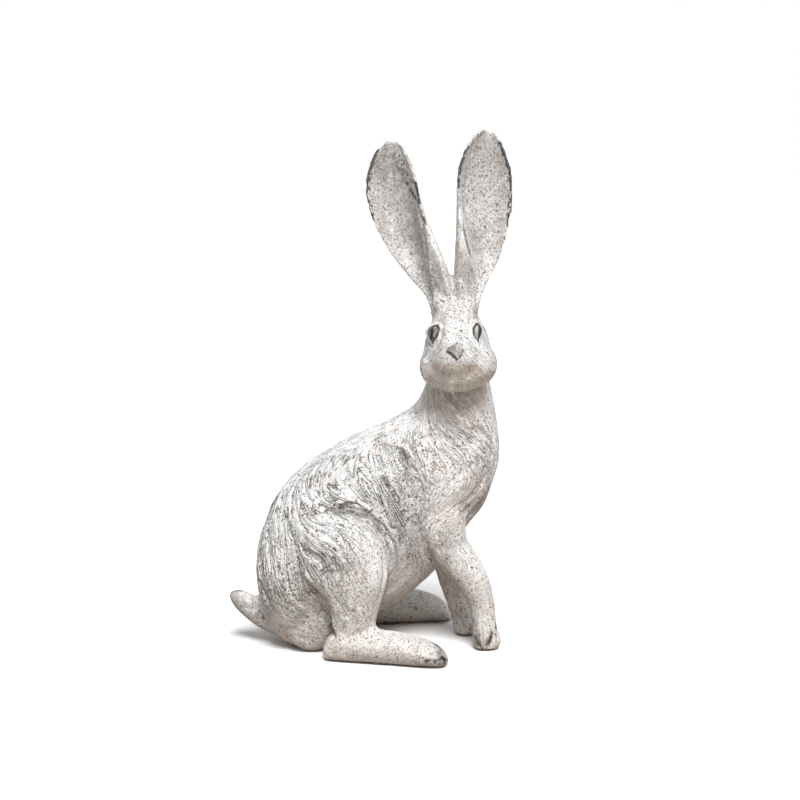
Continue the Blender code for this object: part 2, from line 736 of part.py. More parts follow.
def joint_pins():
    """Give each pin or dowel as its middle, direction, length, radius and the two castings it joins."""
    pins = {}
    frame, along = neck_frame()
    up = frame.to_3x3() @ UP
    for name, sign in (("front", 1), ("rear", -1)):
        middle = frame.translation + along * sign * DOWEL_SPACING / 2
        pins["neck_dowel_" + name] = (middle, up, DOWEL_LENGTH, DOWEL_RADIUS,
                                      ("torso_casting", "head_casting"))
    points, sizes = tail_line()
    pins["tail_pin"] = (points[TAIL_JOINT_RING], run_at(points, TAIL_JOINT_RING), TAIL_PIN_LENGTH,
                        TAIL_PIN_RADIUS, ("torso_casting", "tail_casting"))
    for side in SIDES:
        points, sizes = foreleg_line(side)
        pins["foreleg_pin_" + side] = (points[FORELEG_JOINT_RING], run_at(points, FORELEG_JOINT_RING),
                                       FORELEG_PIN_LENGTH, FORELEG_PIN_RADIUS,
                                       ("torso_casting", "foreleg_" + side))
        ankle_x = HAUNCH_SLICES[1][1] * MM + leg_advance(side)
        ankle = Vector((ankle_x, SIDES[side] * ANKLE_SPREAD / 2, ANKLE_HEIGHT))
        pins["foot_pin_" + side] = (ankle, UP, FOOT_PIN_LENGTH, FOOT_PIN_RADIUS,
                                    ("torso_casting", "hind_foot_" + side))
        below, seat, above = [ear_seat(side, EAR_JOINT_RING + step) for step in (-1, 0, 1)]
        pins["ear_pin_" + side] = (seat, (above - below).normalized(), EAR_PIN_LENGTH, EAR_PIN_RADIUS,
                                   ("head_casting", "ear_" + side))
    return pins


def cut(piece, cutters, operation="DIFFERENCE"):
    """Cut a piece with guides, or keep only what lies in one of them."""
    for cutter in cutters:
        modifier = piece.modifiers.new(cutter.name, "BOOLEAN")
        modifier.object = cutter
        modifier.operation = operation
        modifier.solver = "EXACT"


def limb_cutters():
    """Give the shapes that the limbs are kept with, and the wider ones that the torso is cut with."""
    keepers = {
        "head_casting": neck_block("neck_keep", 0),
        "tail_casting": limb_cutter("tail_keep", tail_line(), TAIL_JOINT_RING, JOINT_MARGIN, 0),
    }
    torso_margin = JOINT_MARGIN + GLUE_GAP
    torso_cutters = [
        neck_block("neck_cut", GLUE_GAP),
        limb_cutter("tail_cut", tail_line(), TAIL_JOINT_RING, torso_margin, GLUE_GAP),
    ]
    for side in SIDES:
        line = foreleg_line(side)
        keepers["foreleg_" + side] = limb_cutter("foreleg_keep", line, FORELEG_JOINT_RING, JOINT_MARGIN, 0)
        torso_cutters.append(limb_cutter("foreleg_cut", line, FORELEG_JOINT_RING, torso_margin, GLUE_GAP))
        keepers["hind_foot_" + side] = foot_cutter("foot_keep", side, FOOT_MARGIN)
        torso_cutters.append(foot_cutter("foot_cut", side, FOOT_MARGIN + GLUE_GAP))
    return keepers, torso_cutters


def hollow_cutters():
    """Give the shapes of the hollow in the torso and of the hole that it was poured through."""
    hole_top = UNDERSIDE + CORE_WALL
    hole_middle = plug_place() + UP * hole_top / 2
    hole = rod_mesh("fill_hole_guide", hole_middle, UP, hole_top + 2 * UNDERSIDE, PLUG_RADIUS + PIN_CLEARANCE)
    return [rings_mesh("core_guide", core_rings()), hole]


def make_castings(root, material):
    """Cut the figure into its castings and add the ears."""
    figure = make_figure(root)
    floor = block_mesh("floor_guide", Matrix.Identity(4), Vector((-REACH, -REACH, -REACH)),
                       Vector((REACH, REACH, UNDERSIDE)))
    ground = make_guide(floor.name, floor, root)
    keepers, torso_cutters = limb_cutters()
    torso_cutters += hollow_cutters()
    pieces = {"torso_casting": make_object("torso_casting", figure.copy(), root, material)}
    cut(pieces["torso_casting"], [ground] + [make_guide(mesh.name, mesh, root) for mesh in torso_cutters])
    for name, keeper in keepers.items():
        pieces[name] = make_object(name, figure.copy(), root, material)
        cut(pieces[name], [make_guide(keeper.name, keeper, root)], "INTERSECT")
        cut(pieces[name], [ground])
    for side in SIDES:
        ear = rings_mesh("ear_" + side, ear_rings(side)[EAR_JOINT_RING:])
        pieces["ear_" + side] = make_object("ear_" + side, ear, root, material)
        stub = ear_root("ear_root_" + side, side)
        cut(pieces["head_casting"], [make_guide(stub.name, stub, root)], "UNION")
    return pieces


def add_pins(root, pieces, steel, wood):
    """Add the pins and dowels, and drill the castings for them."""
    for name, (middle, direction, length, radius, joined) in joint_pins().items():
        material = wood if "dowel" in name else steel
        make_object(name, rod_mesh(name, middle, direction, length, radius), root, material)
        socket = rod_mesh(name + "_socket", middle, direction, length + 2 * END_CLEARANCE,
                          radius + PIN_CLEARANCE)
        drill = make_guide(socket.name, socket, root)
        for casting in joined:
            cut(pieces[casting], [drill])


def add_plug(root, material):
    """Add the plug of the fill hole."""
    middle = plug_place() + UP * PLUG_LENGTH / 2
    plug = rod_mesh("fill_plug", middle, UP, PLUG_LENGTH, PLUG_RADIUS, 2 * PIN_SIDES)
    make_object("fill_plug", plug, root, material)


def add_pads(root, material):
    """Add the felt pads beneath the rump, the hind feet and the forepaws."""
    pads = {"felt_pad_rump": (plug_place(), RUMP_PAD_RADIUS)}
    for side in SIDES:
        foot = foot_frame(side) @ Vector((FOOT_PAD_SHARE * FOOT_LENGTH, 0, 0))
        pads["felt_pad_foot_" + side] = (foot, FOOT_PAD_RADIUS)
        points, sizes = foreleg_line(side)
        pads["felt_pad_paw_" + side] = (points[-1], PAW_PAD_RADIUS)
    for name, (place, radius) in pads.items():
        middle = Vector((place.x, place.y, PAD_THICKNESS / 2))
        pad = rod_mesh(name, middle, UP, PAD_THICKNESS, radius, 2 * PIN_SIDES)
        make_object(name, pad, root, material)


def centre_over_origin(root):
    """Move the figurine so that the middle of its footprint is at the origin."""
    depsgraph = bpy.context.evaluated_depsgraph_get()
    corners = []
    for thing in bpy.data.objects:
        if thing.type == "MESH" and not thing.hide_render:
            corners += [vertex.co for vertex in thing.evaluated_get(depsgraph).data.vertices]
    for axis in (0, 1):
        values = [corner[axis] for corner in corners]
        root.location[axis] = -(min(values) + max(values)) / 2


def main():
    """Build the figurine."""
    clear_scene()
    root = bpy.data.objects.new("figurine", None)
    bpy.context.scene.collection.objects.link(root)
    painted = make_material("painted_resin", (0.72, 0.70, 0.66), 0.75)
    steel = make_material("pin_steel", (0.55, 0.56, 0.58), 0.35, 1.0)
    wood = make_material("dowel_wood", (0.62, 0.45, 0.27), 0.8)
    rubber = make_material("plug_rubber", (0.06, 0.06, 0.06), 0.7)
    felt = make_material("pad_felt", (0.20, 0.19, 0.18), 0.95)
    pieces = make_castings(root, painted)
    add_pins(root, pieces, steel, wood)
    add_plug(root, rubber)
    add_pads(root, felt)
    centre_over_origin(root)


main()
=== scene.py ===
"""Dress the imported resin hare: carved fur, painted finish, floor, lights and camera.

The nine castings are carved as one skin, so that the fur and the forms run on across the joints, and the
skin is then sawn apart at the joints. The paint is made of nodes, with groups for the spatter and for the
lines along the fur, and reads masks that the carving leaves on the skin. Pins, dowels, plug and pads keep
their own solids.

Places that a comment calls seen are written as (x, z) in millimetres, as far to the right and as high as
they stand in the camera's picture. They are brought onto the hare along the camera's lines of sight.
"""

import logging
import math
from dataclasses import dataclass
from enum import Enum

import bmesh
import bpy
import numpy as np
from mathutils import Matrix, Vector
from mathutils.bvhtree import BVHTree


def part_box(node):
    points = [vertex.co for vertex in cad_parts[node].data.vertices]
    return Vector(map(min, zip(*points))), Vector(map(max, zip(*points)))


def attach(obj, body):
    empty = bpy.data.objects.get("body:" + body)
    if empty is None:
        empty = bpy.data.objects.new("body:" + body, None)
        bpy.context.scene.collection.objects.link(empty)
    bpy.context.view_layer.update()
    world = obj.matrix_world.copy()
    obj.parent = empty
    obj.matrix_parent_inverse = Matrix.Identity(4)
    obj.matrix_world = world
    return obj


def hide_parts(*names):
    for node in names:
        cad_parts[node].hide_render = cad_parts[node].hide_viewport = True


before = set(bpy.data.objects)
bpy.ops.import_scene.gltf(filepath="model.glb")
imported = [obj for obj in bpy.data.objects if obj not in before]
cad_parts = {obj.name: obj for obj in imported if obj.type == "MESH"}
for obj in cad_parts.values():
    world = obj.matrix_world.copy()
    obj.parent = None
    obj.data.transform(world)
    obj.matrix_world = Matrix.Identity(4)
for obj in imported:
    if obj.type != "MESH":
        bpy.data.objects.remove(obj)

MM = 0.001
SEED = 7
LOG = logging.getLogger("hare")
Socket = bpy.types.NodeSocket

# The camera stands where the photograph was taken from, and looks slightly down.
CAMERA_PLACE = Vector((0.0207, -1.0501, 0.305))
CAMERA_AIM_HEIGHT = 0.163
CAMERA_LENS = 72.7
SENSOR_WIDTH = 36.0
PICTURE_WIDTH = 800
CAMERA_TURN = (Vector((CAMERA_PLACE.x, 0, CAMERA_AIM_HEIGHT)) - CAMERA_PLACE).to_track_quat("-Z", "Y")
# What is seen in the middle of the picture, and the size of its pixels there, in millimetres.
SEEN_MIDDLE = (20, 163)
SEEN_PIXEL = (0.65, 0.66)

# Where a line of sight that passes beside the hare is searched for the nearest skin, in millimetres.
MISSED_DEPTHS = range(-70, 75, 5)

# The left hind leg stands further forward by this much. A hind leg's front and top.
LEFT_LEG_ADVANCE = 6 * MM
HIND_LEG_FRONT = 16 * MM
HIND_LEG_TOP = 103 * MM

# Carved fur as seen: how deep the fur is along the line, from 0 to 1, then its places from root to tip.
BACK_AND_FLANK = (
    (0.35, ((30, 152), (10, 147), (-14, 138), (-36, 124), (-52, 108))),
    (0.45, ((20, 148), (2, 140), (-18, 130), (-38, 116))),
    (0.95, ((-24, 125), (-28, 115), (-29, 107), (-25, 100), (-17, 97), (-7, 94), (0, 88), (8, 75),
            (13, 63))),
    (1.00, ((-37, 113), (-38, 103), (-36, 95), (-32, 90), (-21, 90), (-11, 90), (-3, 84), (6, 73))),
    (0.95, ((-48, 100), (-50, 91), (-48, 83), (-40, 77), (-32, 72), (-24, 67), (-18, 60))),
    (0.95, ((-58, 92), (-60, 81), (-58, 69), (-55, 60), (-53, 45), (-48, 28))),
    (0.80, ((-65, 85), (-69, 70), (-69, 58), (-66, 42), (-58, 26))),
    (0.85, ((-36, 79), (-27, 75), (-18, 71), (-12, 64), (-9, 58))),
    (0.95, ((-50, 68), (-49, 56), (-45, 44), (-41, 30))),
    (0.95, ((-42, 66), (-38, 58), (-30, 54), (-26, 46), (-25, 36))),
    (0.95, ((-8, 111), (-6, 105), (0, 97), (8, 88), (13, 78), (19, 68))),
    (0.95, ((7, 115), (11, 107), (15, 100), (19, 92))),
    (0.85, ((0, 125), (3, 114), (7, 103), (9, 92), (15, 78))),
    (0.60, ((15, 138), (21, 129), (25, 118), (28, 107), (30, 97), (30, 86))),
    (0.55, ((7, 115), (11, 107), (16, 97), (21, 83), (28, 69), (32, 60))),
)
CHEST = (
    (0.25, ((34, 162), (30, 154), (30, 145), (27, 137))),
    (0.85, ((45, 161), (51, 152), (59, 143), (69, 136), (75, 129))),
    (0.75, ((59, 156), (67, 148), (75, 140), (82, 134))),
    (0.80, ((47, 143), (51, 138), (59, 136), (66, 131), (73, 125))),
    (0.65, ((81, 134), (83, 125), (80, 118), (75, 107), (69, 97), (59, 88), (48, 81))),
    (0.35, ((66, 118), (64, 107), (58, 97), (48, 90), (36, 83))),
    (0.75, ((21, 140), (25, 131), (30, 122), (33, 113))),
    (0.60, ((34, 138), (38, 131), (44, 124), (49, 116))),
    (0.30, ((78, 165), (81, 155), (84, 145))),
)
SMOOTH_PARTS = (
    (0.05, ((-8, 84), (2, 76), (8, 64), (9, 52), (6, 40))),
    (0.05, ((-16, 84), (-6, 74), (0, 62), (0, 50))),
    (0.25, ((-18, 50), (-14, 42), (-8, 34), (-6, 26))),
    (0.30, ((-28, 44), (-22, 36), (-16, 28))),
    (0.05, ((-14, 12), (10, 12), (40, 8))),
    (0.30, ((52, 78), (62, 62), (70, 44), (76, 26), (78, 14))),
    (0.30, ((44, 70), (52, 56), (58, 42), (62, 26))),
    (0.15, ((62, 76), (70, 60), (77, 42), (80, 26))),
    (0.10, ((-66, 20), (-78, 28), (-90, 34))),
    (0.15, ((-60, 22), (-48, 14), (-34, 10))),
    (0.25, ((-46, 32), (-38, 24), (-31, 16))),
    (0.20, ((20, 60), (14, 50), (8, 38), (4, 24))),
)
FACE = (
    (0.35, ((55, 196), (49, 194), (43, 189), (39, 183))),
    (0.35, ((58, 196), (64, 194), (71, 190), (77, 184))),
    (0.25, ((50, 206), (46, 200), (41, 196), (38, 190))),
    (0.20, ((62, 207), (67, 202), (73, 198), (78, 192))),
    (0.15, ((56, 203), (55, 212), (55, 222), (54, 232))),
    (0.20, ((48, 222), (44, 232), (40, 244), (32, 256))),
    (0.20, ((62, 222), (64, 232), (66, 244), (68, 258))),
    (0.05, ((56, 188), (56, 178), (57, 170))),
    (0.05, ((46, 186), (44, 178), (46, 170))),
    (0.05, ((68, 186), (70, 178), (68, 170))),
)
# Places with three numbers are out of the camera's sight, and stand as (x, y, z) in millimetres.
BACK_OF_HEAD = (
    (0.30, ((58, 0, 236), (58, 18, 222), (58, 24, 204), (56, 22, 186), (50, 16, 168))),
    (0.30, ((40, 0, 222), (38, 8, 206), (38, 14, 190), (34, 14, 172))),
    (0.30, ((76, 0, 222), (78, 8, 206), (78, 14, 190), (76, 16, 172))),
)
EARS = (
    (0.12, ((46, 246), (38, 275), (24, 305), (11, 331))),
    (0.12, ((60, 246), (68, 275), (77, 305), (80, 335))),
    (0.12, ((40, 20, 250), (34, 24, 280), (24, 20, 305))),
    (0.12, ((70, 20, 250), (76, 24, 280), (80, 20, 305))),
)

# Creases as seen: depth and width in millimetres, how dark the wash in them is, then places. The wash is
# partly the wash that settles in creases and partly painted shade, darkest along the haunch's crest, in
# the short deep dips and in the cup of the ear on the picture's right. A crease of negative depth is a
# ridge.
CREASES = (
    (1.2, 1.0, 0.6, ((-40.5, 91.7), (-34.6, 87.8), (-28, 89.5), (-21.6, 91.1), (-15.1, 92.4), (-6, 90.4),
                     (0.5, 85.1), (6.4, 77.2), (10.3, 69.3), (12.2, 61.4))),
    (1.2, 3.0, 0.7, ((-24, 90), (-15, 90.5), (-7, 88), (0, 83))),
    (1.0, 2.0, 0.5, ((12.2, 61.4), (12.9, 50.8), (10.9, 38.9), (7, 27))),
    (1.6, 1.6, 0.7, ((-44, 70.6), (-41.8, 63), (-31.6, 58), (-27.3, 51.4), (-26.6, 41))),
    (2.5, 2.2, 0.8, ((-25, 14), (-24, 9), (-23.5, 4))),
    (0.8, 1.5, 0.5, ((-18.6, 4.3), (-7, 9.4), (3, 13))),
    (2.4, 1.4, 1.0, ((7.6, 113), (11, 108), (13, 104))),
    (1.4, 1.1, 1.0, ((19, 133), (22, 128), (24, 123))),
    (1.4, 1.2, 0.9, ((26, 121.6), (29, 118), (31.4, 115.6))),
    (1.2, 1.4, 0.7, ((16, 133.6), (20.7, 127.4), (25.5, 115))),
    (1.0, 1.4, 0.7, ((21.4, 139), (24.8, 133.6), (29.6, 130))),
    (1.2, 0.9, 0.8, ((6, 99.7), (8.2, 91.6))),
    (1.2, 1.0, 0.6, ((-7, 108.5), (-2.6, 99.7), (7.5, 89.4))),
    (1.3, 1.2, 0.6, ((46.7, 143.4), (50.8, 138.5), (59, 135))),
    (1.2, 1.8, 0.6, ((59, 155), (65.8, 149.6), (68.6, 146))),
    (1.2, 1.2, 0.6, ((54.2, 148.2), (61, 141.3), (67.2, 135.7))),
    (1.0, 1.4, 0.5, ((79.5, 119), (74.7, 110.7), (71.3, 103.7))),
    (-1, 1.2, 0.0, ((26.6, 44.6), (3.6, 15))),
    (0.9, 0.8, 0.0, ((51.3, 194.6), (54, 192.4), (56.6, 189.8))),
    (0.7, 0.8, 0.0, ((61, 196), (60.3, 193.5), (58.6, 190.6))),
    (0.5, 0.8, 0.3, ((57.4, 189.5), (57.2, 186))),
    (-0.8, 2.2, 0.0, ((55.5, 197.5), (58.5, 196.5))),
    (0.9, 0.7, 0.7, ((44.7, -2), (44, -9.3))),
    (0.9, 0.7, 0.7, ((40.8, -3.3), (40.2, -10.6))),
    (0.9, 0.7, 0.7, ((70.7, 9.9), (72, 0.6))),
    (0.9, 0.7, 0.7, ((77.2, 5.9), (75.3, -0.7))),
    (0.7, 0.9, 0.4, ((41.5, 229.6), (48, 227.4), (56, 228.4), (64, 226.6))),
    (0.6, 0.8, 0.4, ((43, 234), (50, 231.6), (55, 233.4))),
    (0.6, 0.8, 0.4, ((58, 236), (62, 232), (66, 232.6))),
    (-1.9, 1.1, 0.0, ((58.4, 287), (60.4, 271), (64, 257), (68.4, 244))),
    (1.7, 1.7, 0.8, ((61.6, 281), (63.6, 269), (67.4, 257), (71.4, 248))),
    (-1, 1.1, 0.0, ((37.4, 281), (38.8, 266), (40, 252), (41, 239))),
    (1.0, 1.4, 0.5, ((34.6, 281), (36.2, 266), (37.6, 252))),
)

BLACK = (0.012, 0.011, 0.01)
SOOT = (0.10, 0.095, 0.09)
SMOKE = (0.24, 0.22, 0.21)
# A paler colour, painted on the throat as light.
PAINTED_LIGHT_TAN = (0.86, 0.78, 0.70)
IRIS_DARK = (0.06, 0.05, 0.045)
IRIS_LIGHT = (0.27, 0.235, 0.20)
# The eye's painted highlight.
EYE_HIGHLIGHT = (0.62, 0.61, 0.60)

# Painted marks as seen: colour, how well it covers, how ragged it is, half its width in millimetres, then
# places.
MARKS = (
    # Painted light: these two rows of paler colour lighten the shade on the throat beneath the chin.
    (PAINTED_LIGHT_TAN, 0.85, 0.4, 6.5, ((40, 161), (50, 159), (60, 158), (72, 161))),
    (PAINTED_LIGHT_TAN, 0.45, 0.7, 4.0, ((46, 152.5), (56, 150), (68, 153))),
    (SMOKE, 0.85, 0.5, 2.2, ((54.8, 197.4), (57.6, 197), (59.8, 195.6))),
    (SMOKE, 0.70, 0.6, 1.6, ((56, 193.6), (58.6, 192.4))),
    (SMOKE, 0.60, 0.4, 0.9, ((50.3, 197.2), (53.6, 193.6))),
    (BLACK, 0.95, 0.0, 0.85, ((51, 194.8), (54, 192.4), (56.8, 189.8))),
    (SOOT, 0.75, 0.2, 0.60, ((61, 196), (60.3, 193.5), (58.6, 190.6))),
    # Painted shade in the dip between the eye on the picture's left and the bridge of the nose.
    (SMOKE, 0.60, 0.7, 2.0, ((46.6, 209), (47.6, 202.6), (45.4, 199.6))),
    (SMOKE, 0.45, 0.8, 1.6, ((39, 199.6), (37.4, 194))),
    (SMOKE, 0.80, 0.5, 4.4, ((45.6, 1), (48.4, -3), (47.6, -7.6))),
    (BLACK, 0.95, 0.8, 3.8, ((46.6, 1.4), (48.8, -3), (48.6, -7.6))),
    (BLACK, 0.90, 0.6, 1.8, ((37, -9.6), (43, -10), (48.6, -9.2))),
    (BLACK, 0.85, 0.5, 1.8, ((69.2, 6.4), (70.6, 2))),
    (BLACK, 0.90, 0.2, 0.8, ((72.2, 2), (73.4, -1.8))),
    (BLACK, 0.95, 0.2, 1.1, ((79.6, 9.4), (78.6, 4.6), (76.4, 1.6))),
    (SMOKE, 0.55, 0.6, 1.6, ((75.4, 3), (76, -1))),
    (BLACK, 0.90, 0.2, 1.0, ((82.4, 15.6), (82.8, 12.6))),
    (BLACK, 0.90, 0.4, 1.7, ((-92, 32.6), (-90, 35.4), (-86, 37.4), (-79, 36.4))),
    (SOOT, 0.85, 0.6, 1.6, ((-91, 31), (-87, 25.4), (-80.2, 18), (-70.6, 11))),
    (SMOKE, 0.70, 0.8, 4.5, ((-88, 31.6), (-80, 26), (-74, 22.4))),
    (SMOKE, 0.60, 0.8, 2.6, ((-65.6, 24.6), (-66, 17))),
    (SMOKE, 0.60, 0.9, 3.4, ((17.4, 62.6), (17, 54), (14.6, 46))),
    (SMOKE, 0.50, 0.9, 3.0, ((28.4, 156), (32, 151.4))),
    (SMOKE, 0.60, 0.7, 2.4, ((67.4, 271.6), (71.6, 271))),
    (SMOKE, 0.70, 0.6, 1.3, ((68.4, 221), (71.4, 219.6))),
    (SMOKE, 0.50, 0.8, 1.4, ((42, 224), (44.6, 221), (50, 218.4))),
    (SMOKE, 0.65, 0.6, 2.4, ((68.6, 262.4), (72, 260.6))),
    # Painted shade on the stem of the ear on the picture's right, beside its lip.
    (SMOKE, 0.32, 0.6, 3.2, ((54.6, 281), (56.4, 267), (59.6, 254), (63.6, 244))),
    (BLACK, 0.90, 0.8, 1.3, ((15.6, 325), (20, 315), (24.6, 306), (29, 298), (33, 289),
                             (36.6, 280))),
    (SMOKE, 0.50, 0.9, 5.0, ((11, 320), (14, 314), (18.4, 307))),
    # Painted shade on the shaded side of the cup of the ear on the picture's left.
    (SMOKE, 0.42, 0.6, 8.0, ((12, 318), (20, 298), (29, 276), (37, 256))),
)

# Stretches of the ears' rims where the paint is worn down to black, as seen: how worn, then places.
WORN_RIMS = (
    (1.0, ((8, 333), (2.9, 324.5), (1, 318), (-0.2, 309), (-0.6, 300), (0.8, 289), (4, 277))),
    (1.0, ((18, 329), (21, 321), (23.5, 314), (27.5, 308.5), (31.5, 302), (33, 295), (36, 286))),
    (0.8, ((66, 333), (62.5, 324.5), (59.8, 316), (57.8, 308.5), (57.2, 300))),
    (1.0, ((80, 337), (87.5, 328), (90.8, 318), (91.6, 308.5), (91.6, 297.5), (90.8, 286), (89, 274))),
)

# Areas of painted shade in a warm brown, as seen: how much of it, half the width in millimetres, then
# places.
PAINTED_SHADE_AREAS = (
    (1.0, 5.0, ((42, 181), (48, 182), (57, 183), (64, 182), (70, 180))),
    (1.0, 8.0, ((42, 174), (50, 175), (58, 176), (66, 175))),
    (1.0, 8.0, ((46, 167), (57, 165), (66, 167))),
    (0.6, 8.0, ((68, 106), (60, 93), (52, 84))),
    (0.3, 11.0, ((26, 100), (27, 86), (24, 66))),
    (1.0, 4.0, ((-22, -3), (0, -6), (30, -8))),
    (0.9, 11.0, ((-60, 18), (-46, 10), (-32, 8))),
    (0.4, 6.0, ((-84, 27), (-72, 16))),
    (0.4, 8.0, ((-16, 6), (12, 5), (38, 0))),
    (0.5, 12.0, ((-16, 44), (-10, 30), (-8, 18))),
    (0.6, 3.5, ((55, 280), (57, 266), (61, 253), (65, 243))),
)
# Areas with many specks on a dirtier, darker ground, laid down in the same way. The darker ground there is
# also painted shade.
SPECKLED_AND_SHADED_AREAS = (
    (0.2, 12.0, ((44, 176), (57, 177), (68, 176))),
    (0.8, 13.0, ((28, 104), (28, 86), (24, 66))),
    (1.0, 13.0, ((-14, 46), (-8, 34), (-8, 18))),
    (0.8, 11.0, ((-22, 4), (0, 2), (20, 0), (42, -4))),
    (0.9, 10.0, ((-90, 32), (-72, 16))),
    (1.0, 14.0, ((-62, 26), (-46, 20), (-32, 18))),
    (0.5, 14.0, ((48, 60), (62, 40), (74, 18))),
)
# The ears' lips, which are cleaner than the cups, as seen.
LIPS = (
    ((34.4, 292), (37.4, 284), (41, 272), (44.6, 259), (46, 247)),
    ((58.4, 287), (60.4, 271), (64, 257), (68.4, 244)),
)
LIP_REACH = 3.0 * MM

# Heights in metres between which an effect sets in, or sets in and ends again.
EAR_ROOTS = (0.246, 0.268)
RIM_ROOTS = (0.256, 0.272)
THIN_EAR_ROOTS = (0.243, 0.262)
STROKED_HEIGHTS = (0.180, 0.186, 0.180, 0.262)
CROWN_HEIGHTS = (0.212, 0.223, 0.250, 0.262)
# Painted shade, darker towards the bottom, sets in between these heights.
LOW_SHADE_HEIGHTS = (0.100, 0.035)
# The wash is warmer in the chest, in front of and below these places in metres.
WARM_FRONT = (0.022, 0.045)
WARM_TOP = (0.175, 0.160)

# Flesh between each haunch and the rump, which the solids leave out, as eggs: middle and radii in
# millimetres.
ADDED_EGGS = (
    ((-37, -24, 27), (22, 11, 26)),
    ((-31, 24, 27), (22, 11, 26)),
    ((-43, -26, 42), (17, 11, 18)),
    ((-37, 26, 42), (17, 11, 18)),
)

# Size across and length of the carved locks, strands and hairs, in millimetres.
TUFTS = ((7.0, 60), (3.4, 68), (2.0, 36))

# The part of the face that gets finer faces, as its lowest and highest corners.
FACE_BOX = (Vector((30, -80, 176)) * MM, Vector((84, 20, 222)) * MM)


class Casting(Enum):
    """The castings, by the names of their solids."""

    TORSO = "torso_casting"
    HEAD = "head_casting"
    EAR_RIGHT = "ear_right"
    EAR_LEFT = "ear_left"
    FORELEG_RIGHT = "foreleg_right"
    FORELEG_LEFT = "foreleg_left"
    FOOT_RIGHT = "hind_foot_right"
    FOOT_LEFT = "hind_foot_left"
    TAIL = "tail_casting"


def place_object(name: str, data: object) -> bpy.types.Object:
    """Make an object and put it into the scene."""
    thing = bpy.data.objects.new(name, data)
    bpy.context.scene.collection.objects.link(thing)
    return thing


def read_vectors(data: bpy.types.bpy_prop_collection, name: str) -> np.ndarray:
    """Give the vectors of a mesh's elements, one to a row."""
    flat = np.empty(len(data) * 3, np.float32)
    data.foreach_get(name, flat)
    return flat.reshape(-1, 3).astype(float)


def read_numbers(data: bpy.types.bpy_prop_collection, name: str) -> np.ndarray:
    """Give the whole number of each of a mesh's elements."""
    flat = np.empty(len(data), np.int32)
    data.foreach_get(name, flat)
    return flat


def mesh_from(form: bmesh.types.BMesh, name: str) -> bpy.types.Mesh:
    """Turn a form into a new mesh, and free the form."""
    mesh = bpy.data.meshes.new(name)
    form.to_mesh(mesh)
    form.free()
    return mesh


def neighbours_sum(values: np.ndarray, edges: np.ndarray) -> np.ndarray:
    """Give the sum of the values at the other ends of each vertex's edges.

    Args:
        values: A value or a row of values for each vertex.
        edges: The two vertices of each edge that counts.

    Returns:
        The sum for each vertex, in the values' form.
    """
    if values.ndim == 2:
        return np.stack([neighbours_sum(column, edges) for column in values.T], axis=1)
    first, second = edges.T
    total = np.bincount(first, values[second], len(values))
    return total + np.bincount(second, values[first], len(values))


def smooth_step(values: np.ndarray, zero: float, one: float) -> np.ndarray:
    """Give 0 at and beyond the zero value, 1 at and beyond the one value, and a soft ramp between them."""
    share = np.clip((values - zero) / (one - zero), 0, 1)
    return share * share * (3 - 2 * share)


def band(values: np.ndarray, foot: float, lower: float, upper: float, top: float) -> np.ndarray:
    """Give 1 between the lower and upper value, fading to 0 at the foot and the top."""
    return smooth_step(values, foot, lower) * smooth_step(values, top, upper)


def hump(values: np.ndarray, middle: float, width: float) -> np.ndarray:
    """Give 1 at the middle value and less to both sides of it."""
    return np.exp(-((values - middle) / width) ** 2)


def soft_noise(points: np.ndarray, wavelength: float, seed: int) -> np.ndarray:
    """Give soft random values over space.

    Args:
        points: Places, one to a row, in metres.
        wavelength: Size of the noise's features in metres.
        seed: Which noise.

    Returns:
        A value for each place, around 0 and mostly between -1 and 1.
    """
    size = 64
    table = np.random.default_rng(seed).uniform(-1, 1, (size, size, size))
    scaled = points / wavelength
    base = np.floor(scaled).astype(int)
    part = scaled - base
    part = part * part * (3 - 2 * part)
    total = np.zeros(len(points))
    for corner in range(8):
        step = np.array([corner & 1, (corner >> 1) & 1, (corner >> 2) & 1])
        weight = np.prod(np.where(step, part, 1 - part), axis=1)
        cell = (base + step) % size
        total += weight * table[cell[:, 0], cell[:, 1], cell[:, 2]]
    return total


